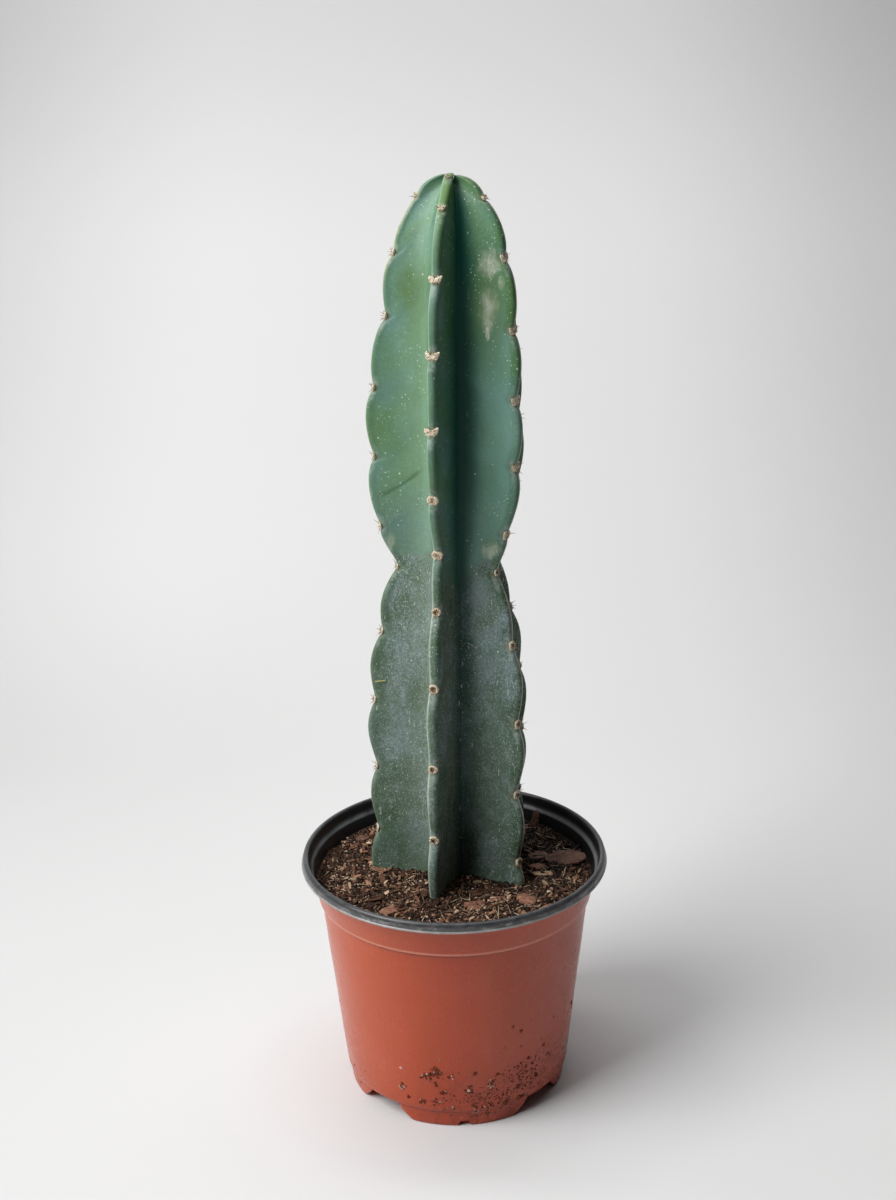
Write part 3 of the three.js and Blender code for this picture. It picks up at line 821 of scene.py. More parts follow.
# Reach of a valley, drawn in at the waist and closing towards the tip
def valleyReach(height, reach):
    waistHeight, waistSpan, waistDepth = stemSize["waist"]
    even = reach - waistDepth * np.exp(-((height - waistHeight) / waistSpan) ** 2)
    shrinkOver = stemSize["notchHeight"] - stemSize["shrinkFrom"]
    share = np.clip((height - stemSize["shrinkFrom"]) / shrinkOver, 0, 1)
    return even * np.sqrt(np.maximum(1 - share ** 2, 0.002))


# Points at a height, so far out along a bearing and across it from the stem's leaning axis
def besideAxis(bearing, along, across, height):
    out, side = outAndSide(bearing)
    axisX = stemSize["foot"][0] + stemSize["lean"] * (height - stemSize["soilLevel"])
    x = axisX + along * out[0] + across * side[0]
    y = stemSize["foot"][1] + along * out[1] + across * side[1]
    return np.stack(np.broadcast_arrays(x, y, height), -1)


# The rows of the whole stem: a list of numbers, and each rib's crest and valley at each of them
def stemRows():
    count = stemSize["rowsPerScallop"]
    rows = np.arange(lastRow * count + 1) / count
    tips = np.arange(1, stemSize["tipRows"] + 1) / stemSize["tipRows"]
    buried = stemSize["buried"]
    # the tip carries on the slope of the rows below it and ends flat
    t = tips[::-1]
    smooth, start, end = t * t * (3 - 2 * t), t * (1 - t) ** 2, t * t * (t - 1)
    crests, valleys = [], []
    standing = [crestLine(rib, rows) for rib in ribs]
    for k, rib in enumerate(ribs):
        height, reach, half, stray = standing[k]
        other = standing[(k + 1) % len(ribs)][0]
        valleyHeight = (height + other) / 2
        deep = valleyReach(valleyHeight, rib["valley"][1])
        tipRadius, notchRadius = stemSize["tipRadius"], stemSize["notchRadius"]
        crestTop = (height[0] + (rib["tip"] - height[0]) * (smooth + 2.1 * start),
                    reach[0] + (tipRadius - reach[0]) * (smooth + 0.45 * start + end))
        valleyTop = (valleyHeight[0] + (stemSize["notchHeight"] - valleyHeight[0]) * (smooth + 1.3 * start),
                     deep[0] + (notchRadius - deep[0]) * (smooth + 0.72 * start + end))
        low = np.array([b[0] for b in buried], float)
        size = np.array([b[1] for b in buried])
        half = np.concatenate([np.full(len(tips), half[0]), half, half[-1] * size])
        crests.append((np.concatenate([crestTop[0], height, low]),
                       np.concatenate([crestTop[1], reach, reach[-1] * size]), half,
                       np.concatenate([stray[0] * (1 - t), stray, np.zeros(len(low))])))
        valleys.append((np.concatenate([valleyTop[0], valleyHeight, low]),
                        np.concatenate([valleyTop[1], deep, rib["valley"][1] * size])))
    numbers = np.concatenate([-tips[::-1], rows, lastRow + np.arange(1, len(buried) + 1) / 4])
    return numbers, crests, valleys


# One rib's outline: places down its flanks, 1 is the valley, and angles round the crest's arc
flankShares = (1.0, 0.965, 0.89, 0.78, 0.64, 0.48, 0.32, 0.17, 0.06)
crestAngles = (-74, -60, -46, -32, -16, 0, 16, 32, 46, 60, 74)


def stemSurface():
    numbers, crests, valleys = stemRows()
    columns, across = [], []
    for k, rib in enumerate(ribs):
        sideways = outAndSide(rib["bearing"])[1]
        height, reach, half, stray = crests[k]
        half = np.minimum(half, reach * 0.36)
        wobble = crestWobble(height, k)
        fade = np.clip((reach - 6) / 14, 0, 1)
        power = 2 / stemSize["crestSquareness"]
        lower = oldShare(height)
        young, old = stemSize["crestHalf"]
        wider = half - np.minimum(young + (old - young) * lower, half)
        flanks = {-1: [], 1: []}
        for side, flank in flanks.items():
            v = (k - 1) % len(ribs) if side < 0 else k
            valleyBearing = ribs[v]["valley"][0]
            valleyOut = outAndSide(valleyBearing)[0]
            valleyHeight, deep = valleys[v]
            bottom = besideAxis(valleyBearing, deep, 0.0, valleyHeight)
            # the crest's arc runs into the flank without a bend
            arcEnd = math.radians(crestAngles[-1])
            shoulder = besideAxis(rib["bearing"], reach - half + half * math.cos(arcEnd) ** power,
                                  side * half * math.sin(arcEnd) ** power + wobble * fade, height)
            turned = math.radians(valleyBearing - rib["bearing"])
            slope = (deep * abs(math.sin(turned)) - half) / np.maximum(reach - deep * math.cos(turned), 1)
            # the valley's own column belongs to the rib after it
            for s in flankShares if side < 0 else flankShares[:0:-1]:
                arc = math.sin(math.pi * s)
                point = shoulder + (bottom - shoulder) * s
                hollow = -np.minimum(stemSize["flankHollow"], reach * 0.02) * arc
                # lobes that soften and climb a little from the crest to the valley
                climbed = numbers + 0.16 * s * s
                climbed = 2 * math.pi * (climbed - 0.08 * np.sin(2 * math.pi * climbed))
                scallop = (0.5 - 0.5 * np.cos(climbed)) * (1 - s) ** 1.8
                scallop = scallop * fade * np.clip((numbers - 0.5) / 1.2, 0, 1)
                relief = stemSize["flankRelief"] * scallop * arc ** 0.8 * (1 - 0.65 * lower)
                climb = 0.05 * s + 0.15 * s * s + (0.07 if k == 1 else 0)
                fold = np.mod(numbers - stemSize["creaseRow"] + climb + 0.5, 1) - 0.5
                crease = creaseStrength(k, side, numbers) * fade * (1 - lower)
                relief = relief - stemSize["creaseDepth"] * crease * np.exp(-(fold / 0.035) ** 2) * arc
                uneven = 0.55 * latticeNoise(height, 31.0 * s + 90.0 * k + 45 * side, 23, 8)
                uneven = uneven + 0.22 * latticeNoise(height, 34.0 * s + 70.0 * k + 35 * side, 8, 9)
                relief = relief + wider * ((1 - s) ** 5 - (1 - s))
                relief = relief - stray * np.clip(slope, 0, 0.8) * fade * (1 - s) * (1 - (1 - s) ** 6)
                point = point + sideways * ((hollow + relief + uneven * fade * arc) * side)[:, None]
                # the bottom of the valley is rounded
                lift = stemSize["valleyRound"] * max(0, (s - 0.86) / 0.14) ** 2
                point = point + valleyOut * lift * fade[:, None]
                flank.append((point, 0.5 * (1 - s) if side < 0 else 1 - 0.5 * (1 - s)))
        crest = []
        for angle in crestAngles:
            a = math.radians(angle)
            c, s = math.cos(a), math.sin(a)
            along = reach - half + half * abs(c) ** power
            sway = half * math.copysign(abs(s) ** power, s) + wobble * fade
            crest.append((besideAxis(rib["bearing"], along, sway, height), 0.5 + angle / 4000))
        # shares: 0 and 1 in the valleys, about a half over the crest
        for points, place in flanks[-1] + crest + flanks[1]:
            columns.append(points)
            across.append((k + place) / len(ribs))
    return numbers, np.array(columns), np.array(across)


# Folds on the flanks are faint, but for the two that show in front
def creaseStrength(rib, side, row):
    strength = np.where((row > 2) & (row < 5.2), 0.05, 0.0)
    marked = (rib == 4 and side > 0) or (rib == 1 and side < 0)
    return np.where(marked & (row > 4.1) & (row < 4.9), 0.9 if rib == 4 else 0.5, strength)


def makeStem():
    numbers, columns, across = stemSurface()
    around, levels = columns.shape[:2]
    stem = startFrom(bpy.ops.mesh.primitive_grid_add, x_subdivisions=around,
                     y_subdivisions=levels + 1, size=2, calc_uvs=True)
    mesh = stem.data
    flat = getPoints(mesh)
    i = np.rint((flat[:, 0] + 1) / 2 * around).astype(int)
    j = np.rint((flat[:, 1] + 1) / 2 * (levels + 1)).astype(int)
    # the grid is wrapped round the stem, with one row more at each end drawn together on the axis
    level = np.clip(levels - j, 0, levels - 1)
    points = columns[i % around, level]
    points[j == levels + 1] = besideAxis(0, 0.0, 0.0, stemSize["crownHeight"])
    points[j == 0] = besideAxis(0, 0.0, 0.0, stemSize["heelHeight"])
    setPoints(mesh, points * mm)
    # own map: across the ribs, and down the areoles
    corner = np.empty(len(mesh.loops), int)
    mesh.loops.foreach_get("vertex_index", corner)
    u = np.append(across, across[0] + 1)[i[corner]] / (growthMap["across"] / len(ribs))
    v = 1 - (numbers[level[corner]] + 1) / growthMap["down"]
    mesh.uv_layers[0].name = "growth"
    mesh.uv_layers[0].data.foreach_set("uv", np.stack([u, v], 1).astype(np.float32).ravel())
    tidyNormals(stem, 1e-7)
    shadeSmooth(stem)
    stem.data.materials.append(makeSkin())
    keepPiece(stem, "stem_body", "stem", "stem")


# scars and spots on the skin: middle, half sizes, strength and how much of it is fully covered
scarSpots = [
    ((0.0206, -0.0121, 0.4345), (0.0064, 0.009, 0.0085), 0.88, 0.0),
    ((0.0262, -0.0130, 0.4260), (0.0022, 0.008, 0.0044), 0.5, 0.1),
    ((0.0205, -0.0122, 0.4150), (0.0056, 0.009, 0.0115), 0.62, 0.0),
    ((0.0197, -0.0122, 0.4085), (0.0036, 0.008, 0.0080), 0.68, 0.1),
    ((0.0197, -0.0126, 0.4030), (0.0012, 0.008, 0.0045), 0.8, 0.5),
    ((0.0205, -0.0112, 0.2960), (0.0066, 0.008, 0.0050), 0.5, 0.2),
    ((-0.0290, 0.0020, 0.2985), (0.0030, 0.008, 0.0060), 0.35, 0.2),
]
# yellowed skin round the scars and at the top of the left flank
yellowSpots = [
    ((0.0205, -0.0122, 0.4150), (0.0125, 0.012, 0.0290), 0.72, 0.0),
    ((-0.0150, -0.0021, 0.4220), (0.0120, 0.014, 0.0230), 0.8, 0.0),
    ((-0.0200, -0.0015, 0.3700), (0.0120, 0.012, 0.0110), 0.38, 0.0),
    ((0.0200, -0.0115, 0.2990), (0.0080, 0.012, 0.0070), 0.5, 0.0),
]
# bluish clouds on the old skin
cloudSpots = [
    ((-0.0240, -0.0010, 0.1960), (0.0110, 0.014, 0.0230), 0.34, 0.1),
    ((0.0150, -0.0105, 0.2720), (0.0090, 0.014, 0.0160), 0.66, 0.1),
    ((0.0080, -0.0090, 0.1900), (0.0060, 0.012, 0.0300), 0.22, 0.1),
    ((-0.0080, -0.0060, 0.2760), (0.0070, 0.012, 0.0150), 0.45, 0.1),
]
# the skin's own map: stem rounds across, and rows of areoles down
growthMap = {"across": 5.1, "down": 14.0}


def makeSkin():
    material, shader, place = newMaterial("cactusSkin")
    across, down, _ = splitXyz(addNode(place, "ShaderNodeUVMap", uv_map="growth").outputs["UV"])
    bodyX, _, height = splitXyz(place)
    ribCount = times(across, growthMap["across"])
    ribNumber = mathNode("FLOOR", ribCount)
    side = less(mathNode("FRACT", ribCount), 0.5)
    fromCrest = absolute(side)
    row = less(times(less(1.0, down), growthMap["down"]), 1.0)
    warped = plus(row, span(noiseAt(place, 42, 3), 0.2, 0.8, -0.13, 0.13, False))
    # how far from the nearest areole's row, by the warped and by the true rows
    fromRow, rowTrue = (less(mathNode("FRACT", plus(value, 0.5)), 0.5) for value in (warped, row))
    isFront, isRight, isLeft = (mathNode("COMPARE", ribNumber, rib) for rib in (0.0, 1.0, 4.0))
    onRight, onLeft = mathNode("GREATER_THAN", side, 0.0), mathNode("LESS_THAN", side, 0.0)
    keyLitFlank, shadeFlank, hazyFlank = times(isLeft, onRight), times(isFront, onRight), times(isRight, onLeft)
    onFlank = window(fromCrest, 0.020, 0.110, 0.47, 0.35)

    # older lower growth below the waist; its border dips in the front right valley
    dip = span(absolute(less(bodyX, 0.0045)), 0.013, 0.001, 0.0, 0.013)
    border = plus(height, dip, span(noiseAt(place, 110, 3), 0, 1, -0.008, 0.008, False))
    older = span(border, 0.2955, 0.2880)
    lower = span(height, 0.304, 0.258)

    # young skin: blue-green wax over green, bluer again just over the waist
    wax = noiseAt(mapped(place, (1, 1, 0.6)), 26, 4, 0.6)
    fine = noiseAt(place, 640, 4, 0.8)
    above = times(window(fromRow, -0.06, -0.24, -0.50, -0.36), span(fromCrest, 0.04, 0.16))
    green = most(patches(place, 21, 0.45, 0.58, 0.55), times(above, span(wax, 0.4, 0.6, 0.1, 0.7)))
    young = layered(ramp(wax, [(0.30, (0.040, 0.116, 0.038)), (0.43, (0.062, 0.162, 0.078)),
                               (0.57, (0.090, 0.205, 0.142)), (0.70, (0.152, 0.285, 0.228))]), [
        (times(span(height, 0.40, 0.47), 0.18), (0.140, 0.285, 0.205)),
        (times(green, 0.80), (0.075, 0.172, 0.042)),
        (span(height, 0.338, 0.300, 0.0, 0.60), (0.098, 0.165, 0.145)),
        (span(fine, 0.50, 0.36, 0, 0.34), (0.030, 0.100, 0.045)),
        (span(fine, 0.52, 0.66, 0, 0.26), (0.215, 0.370, 0.285))])

    # old skin: dark green under large bluish clouds, with fine pale mottling in them
    cloud = patches(mapped(place, (1, 1, 0.6), (0, 0, 0), (0.013, 0, 0.02)), 34, 0.43, 0.62, 0.62)
    oldTone = noiseAt(mapped(place, (1, 1, 0.5)), 90, 5, 0.68)
    grit = noiseAt(mapped(place, (1, 1, 0.7)), 1300, 2, 0.6)
    middling = noiseAt(mapped(place, (1, 1, 0.7)), 150, 4, 0.65)
    old = layered(ramp(oldTone, [(0.34, (0.034, 0.074, 0.034)), (0.48, (0.055, 0.102, 0.056)),
                                 (0.64, (0.095, 0.145, 0.095))]), [
        (times(cloud, span(oldTone, 0.30, 0.55, 0.55, 0.95)), (0.150, 0.212, 0.218)),
        (span(middling, 0.50, 0.40, 0, 0.60), (0.040, 0.092, 0.040)),
        (span(middling, 0.54, 0.66, 0, 0.50), (0.170, 0.235, 0.235)),
        (times(span(fine, 0.50, 0.64), linear(cloud, 0.75, 0.20), 0.72), (0.38, 0.45, 0.44)),
        (span(grit, 0.55, 0.66, 0, 0.42), (0.38, 0.44, 0.41)),
        (span(grit, 0.47, 0.35, 0, 0.55), (0.020, 0.042, 0.024))])

    # wax bloom, partly real and partly painted light: paler on the left of the stem and on the flanks facing
    # the key lamp, most of it deep in the flank
    keyLitSide = plus(keyLitFlank, times(isFront, onLeft))
    bloomAndPaintedLight = most(times(span(bodyX, 0.002, -0.015), 0.17),
                 times(keyLitSide, span(fromCrest, 0.12, 0.44, 0.16, 0.34)))
    # bluish haze below each notch, thinning out inwards; partly a painted highlight on each lobe's upward
    # slope
    below = times(window(fromRow, -0.20, 0.12, 0.48, 0.10), span(fromCrest, 0.42, 0.10),
                  span(wax, 0.34, 0.62, 0.10, 0.65))
    # the two folds that show: thin lines of painted shade that bend up towards the valley and fade at both
    # ends
    bent = times(fromCrest, linear(fromCrest, 0.68, 0.06))
    fold = absolute(less(plus(less(row, 0.60), plus(bent, times(isRight, 0.07))), 4.0))
    thickness = span(noiseAt(place, 120, 2), 0.3, 0.7, 0.026, 0.062)
    foldShadeMask = times(span(mathNode("DIVIDE", fold, thickness), 1.25, 0.0),
                     most(times(keyLitFlank, 0.50), times(hazyFlank, 0.26)),
                     span(fromCrest, 0.010, 0.090), span(fromCrest, 0.50, 0.38))
    # hazy bluish wax on the right-hand flank
    hazed = times(hazyFlank, window(fromCrest, 0.016, 0.060, 0.48, 0.38), span(wax, 0.32, 0.62, 0.38, 0.66),
                  span(height, 0.440, 0.385, 0.45, 1.0), linear(older, -0.62, 1.0))
    # painted shade: the valley in front is painted near black, the flanks running into it darker, and a
    # darker line along its bottom
    inFront = plus(shadeFlank, hazyFlank)
    paintedValleyShade = times(span(fromCrest, 0.31, 0.480), times(inFront, linear(lower, -0.40, 0.99)))
    paintedFlankShade = most(times(span(fromCrest, 0.14, 0.36), shadeFlank), times(span(fromCrest, 0.24, 0.40), hazyFlank))
    # the front rib's shaded flank is brown-streaked where it is old
    streak = noiseAt(mapped(place, (1, 1, 0.08)), 420, 2, 0.6)
    browned = times(shadeFlank, older, times(span(streak, 0.42, 0.62), onFlank))
    skin = layered(mix(older, young, old), [
        (times(bloomAndPaintedLight, linear(older, -0.35, 1.0)), mix(older, (0.34, 0.51, 0.38), (0.38, 0.45, 0.36))),
        (span(grit, 0.5, 0.7, 0, 0.06), (0.40, 0.55, 0.45)),
        # haze below the notches, partly painted highlight
        (times(below, linear(older, -0.6, 0.85)), (0.115, 0.215, 0.200)),
        (foldShadeMask, (0.020, 0.085, 0.026)),
        (hazed, mix(older, (0.170, 0.335, 0.275), (0.235, 0.320, 0.285))),
        # painted shade in the front valley, its bottom line and the flanks into it
        (paintedValleyShade, mix(lower, (0.0005, 0.020, 0.014), (0.006, 0.030, 0.032))),
        (times(span(fromCrest, 0.486, 0.498), inFront, times(lower, 0.75)), (0.002, 0.012, 0.026)),
        (times(paintedFlankShade, linear(lower, -0.35, 0.50)), (0.003, 0.090, 0.066)),
        (times(browned, 0.60), (0.165, 0.165, 0.120))])

    # crest: clear green face, olive near the tip, corky round the areoles, a little felted beside them
    face = span(fromCrest, 0.040, 0.012)
    faceTone = times(patches(place, 55, 0.36, 0.60), linear(isFront, 0.40, 0.12))
    # painted shade on the crest's shaded side
    paintedCrestShade = window(side, 0.003, 0.010, 0.060, 0.020)
    cork = times(span(absolute(rowTrue), 0.12, 0.04), face)
    felt = times(most(window(rowTrue, 0.02, 0.10, 0.30, 0.14), window(rowTrue, 0.0, -0.06, -0.20, -0.10)),
                 span(fromCrest, 0.036, 0.014), patches(place, 240, 0.40, 0.60, 0.7))
    # pale lines on the crests' edges, strongest left on the front rib and right on its neighbour: a soft pale
    # band with a thin broken line in it; on the left edges they are partly worn and partly a painted
    # highlight, and the left rib's rim line is a painted highlight
    broken = noiseAt(mapped(place, (1, 1, 0.3)), 210, 3, 0.7)
    waver = span(broken, 0.2, 0.8, -0.0016, 0.0016, False)
    leftAt = absolute(plus(side, 0.0122, waver))
    rightAt = absolute(less(less(side, 0.0022), waver))
    lineShare = span(broken, 0.38, 0.55, 0.20, 1.0)
    paleBandAndHighlight = times(span(leftAt, 0.0075, 0.0010), linear(isFront, 0.46, 0.06))
    # the thin broken pale line, partly worn and partly a painted highlight
    thin = times(span(leftAt, 0.0034, 0.0008), lineShare, times(isFront, linear(older, 0.66, 0.20)),
                 linear(patches(place, 38, 0.42, 0.56), 0.6, 0.4))
    rightShare = most(lineShare, span(height, 0.34, 0.27, 0.20, 0.65))
    rightLine = times(span(rightAt, 0.0036, 0.0010), rightShare, linear(isRight, 0.90, 0.06))
    halo = times(times(isFront, span(absolute(plus(side, 0.014)), 0.012, 0.002)),
                 times(older, span(fine, 0.40, 0.60)))
    # painted highlight along the left rib's rim
    paintedRimHighlight = times(isLeft, span(absolute(less(side, 0.004)), 0.009, 0.002))
    # the left rib's crest is tan near the tip, its foot is darker
    tanEdge = times(isLeft, span(height, 0.418, 0.432), span(height, 0.472, 0.462),
                    span(fromCrest, 0.016, 0.006), span(broken, 0.36, 0.52, 0.3, 0.7))
    foot = times(isLeft, older, most(span(height, 0.160, 0.128), span(fromCrest, 0.10, 0.03)))
    skin = layered(skin, [
        (times(face, faceTone), (0.060, 0.135, 0.058)),
        (times(face, isFront, span(height, 0.440, 0.462), 0.6), (0.125, 0.235, 0.060)),
        (times(paintedCrestShade, linear(isRight, 0.68, 0.15)), (0.030, 0.070, 0.050)),
        (times(cork, 0.30), (0.26, 0.23, 0.15)),
        (times(felt, 0.50), (0.36, 0.43, 0.40)),
        (paleBandAndHighlight, mix(older, (0.30, 0.45, 0.31), (0.36, 0.40, 0.33))),
        (thin, (0.54, 0.62, 0.50)),
        (rightLine, (0.55, 0.55, 0.43)),
        (times(halo, 0.50), (0.40, 0.46, 0.42)),
        (times(paintedRimHighlight, linear(older, -0.2, 0.45)), (0.235, 0.330, 0.150)),
        (tanEdge, (0.46, 0.45, 0.28)),
        (times(foot, 0.42), (0.060, 0.110, 0.055))])

    # healed scars on the right-hand rib in yellowed skin, and the rubbed skin over the waist
    ragged = noiseAt(mapped(place, (1, 1, 0.6)), 260, 4, 0.7)

    def spotted(spots, edge, roughEdge):
        masks = []
        for at, size, strength, core in spots:
            fromSpot = vectorNode("SUBTRACT", place, at)[0]
            scaled = vectorNode("MULTIPLY", fromSpot, tuple(1 / s for s in size))[0]
            distance = plus(vectorNode("LENGTH", scaled)["Value"],
                            span(ragged, 0.2, 0.8, -roughEdge, roughEdge, False))
            masks.append(times(span(distance, edge, core), strength))
        return most(*masks)

    scars = spotted(scarSpots, 1.05, 0.45)
    scarTone = ramp(noiseAt(mapped(place, (1, 1, 0.35)), 520, 3, 0.7),
                    [(0.35, (0.34, 0.39, 0.27)), (0.65, (0.66, 0.68, 0.58))])
    # pale pores in clusters, dust and short scratches on the old skin
    small = most(specks(place, 560, 0.155, 0.27), specks(place, 900, 0.19, 0.26))
    dots = most(times(small, patches(place, 40, 0.48, 0.55)), specks(place, 300, 0.105, 0.05))
    dustDots = times(specks(place, 1150, 0.24, 0.30), older, patches(place, 70, 0.46, 0.60))
    scratch = span(noiseAt(mapped(place, (1, 1, 0.22), (0.5, 0.35, 0.9)), 640, 1, 0.4), 0.735, 0.765)
    skin = layered(skin, [
        (times(spotted(yellowSpots, 1.0, 0.25), span(oldTone, 0.35, 0.6, 0.6, 1.0)), (0.095, 0.175, 0.045)),
        (times(spotted(cloudSpots, 1.0, 0.35), times(older, span(oldTone, 0.30, 0.58, 0.5, 1.0))),
         (0.225, 0.300, 0.300)),
        (scars, scarTone),
        (times(dots, linear(paintedValleyShade, -0.78, 0.80)), (0.62, 0.76, 0.64)),
        (times(dustDots, 0.7), (0.56, 0.62, 0.60)),
        (times(scratch, linear(older, 0.6, 0.1)), (0.48, 0.50, 0.44))])
    rough = plus(span(wax, 0.3, 0.75, 0.42, 0.56), times(older, 0.10), times(scars, 0.2))
    relief = plus(times(noiseAt(place, 300, 4, 0.6), 0.5), times(fine, linear(older, 0.35, 0.12)),
                  times(scars, ragged))
    setShader(shader, skin, rough, 0.28, (less(relief, times(foldShadeMask, 0.5)), 0.00035, 0.6))
    return material


makeStem()
print("scene: stem is done")

# Areoles and spines

areoleSize = {
    "young": (2.95, 2.4),
    "middle": (2.6, 2.5),
    "old": (2.35, 2.35),
    "raised": 0.85,
    "lifted": 0.30,
    "hairs": 90,
    "hairLength": (0.35, 1.15),
    "hairRadius": 0.11,
    "spineRadius": 0.22,
    "spineLength": (2.2, 4.6),
    "eye": 0.62,
    "highest": 474.3,
}


# Place and axes of every areole above the soil: centre, outward, up along the crest, sideways
def areolePlaces():
    found = []
    upright = np.array([0, 0, 1])
    for k, rib in enumerate(ribs):
        outward, sideways = outAndSide(rib["bearing"])
        for n, areole in enumerate(rib["areoles"]):
            height, reach = areole[:2]
            if height < stemSize["soilLevel"] + 5:
                continue
            sway = float(crestWobble(np.array([height]), k)[0]) * min(1, max(0, (reach - 6) / 14))
            above = (rib["tip"], stemSize["tipRadius"]) if n == 0 else rib["areoles"][n - 1]
            below = rib["areoles"][n + 1]
            slope = np.array([above[1] - below[1], above[0] - below[0]])
            slope = slope / np.linalg.norm(slope)
            found.append({
                "centre": besideAxis(rib["bearing"], reach, sway, height), "side": sideways,
                "up": outward * slope[0] + upright * slope[1], "out": outward * slope[1] - upright * slope[0],
                "small": min(1, 0.30 + 0.70 * (max(0, reach - 6) / 24) ** 1.4), "height": height})
    return found


def padEye(p):
    return np.exp(-(np.hypot(p[:, 0], p[:, 1]) / areoleSize["eye"]) ** 4)


# One felted pad, modelled once for each age: two lobes when young, a ring round a dark eye when old
def modelPad(kind):
    pad = startFrom(bpy.ops.mesh.primitive_uv_sphere_add, segments=36, ring_count=20, radius=1)
    p = getPoints(pad.data)
    angle = np.arctan2(p[:, 1], p[:, 0])
    x, y, z = p.T.copy()
    if kind == "young":
        # wider than tall, notched above the middle, with the upper corners drawn up
        lobes = 1 + 0.10 * np.cos(2 * angle) - 0.08 * np.cos(4 * angle) + 0.05 * np.sin(3 * angle)
        x, y = x * lobes * 1.05, y * lobes * 0.82
        y += 0.50 * np.abs(x) ** 1.6 + 0.14 * x - 0.20
        z = z * (1 - 0.30 * np.exp(-(x / 0.28) ** 2) * (p[:, 1] > -0.2))
    else:
        z = np.where(z > 0, z * (1 - (0.85 if kind == "old" else 0.45) * padEye(p)), z)
        if kind == "middle":
            y = y - 0.20 * (1 - np.abs(x)) * (y < 0)
    # lumps, finer lumps and tufts, as (size, scale, start of the noise)
    grow = 1
    for size, scale, start in ((0.16, 2.3, len(kind)), (0.16, 5.5, 3), (0.10, 11, 8)):
        bumps = [noise.noise(Vector((a * scale, b * scale, c * scale + start))) for a, b, c in p]
        grow = grow + size * np.array(bumps)
    setPoints(pad.data, np.stack([x * grow, y * grow, z * grow], 1))
    shadeSmooth(pad)
    return pad


# One tapered hair or spine along +Z, modelled once
def modelSpine(sides, steps, bend):
    spine = startFrom(bpy.ops.mesh.primitive_cylinder_add, vertices=sides, radius=1, depth=1,
                      location=(0, 0, 0.5), end_fill_type="TRIFAN")
    bpy.ops.object.transform_apply(location=True)
    for k in range(1, steps):
        editAll(spine)
        bpy.ops.mesh.bisect(plane_co=(0, 0, k / steps), plane_no=(0, 0, 1))
        objectMode()
    p = getPoints(spine.data)
    taper = (1 - p[:, 2]) ** 0.7 * 0.95 + 0.05
    setPoints(spine.data, np.stack([p[:, 0] * taper + bend * p[:, 2] ** 2, p[:, 1] * taper, p[:, 2]], 1))
    return spine


# The tip's own areole is pressed down so that nothing stands above the tip
def keepBelow(piece):
    highest = areoleSize["highest"] * mm
    p = getPoints(piece.data)
    over = p[:, 2] > highest
    p[over, 2] = highest - 0.15 * (p[over, 2] - highest)
    setPoints(piece.data, p)


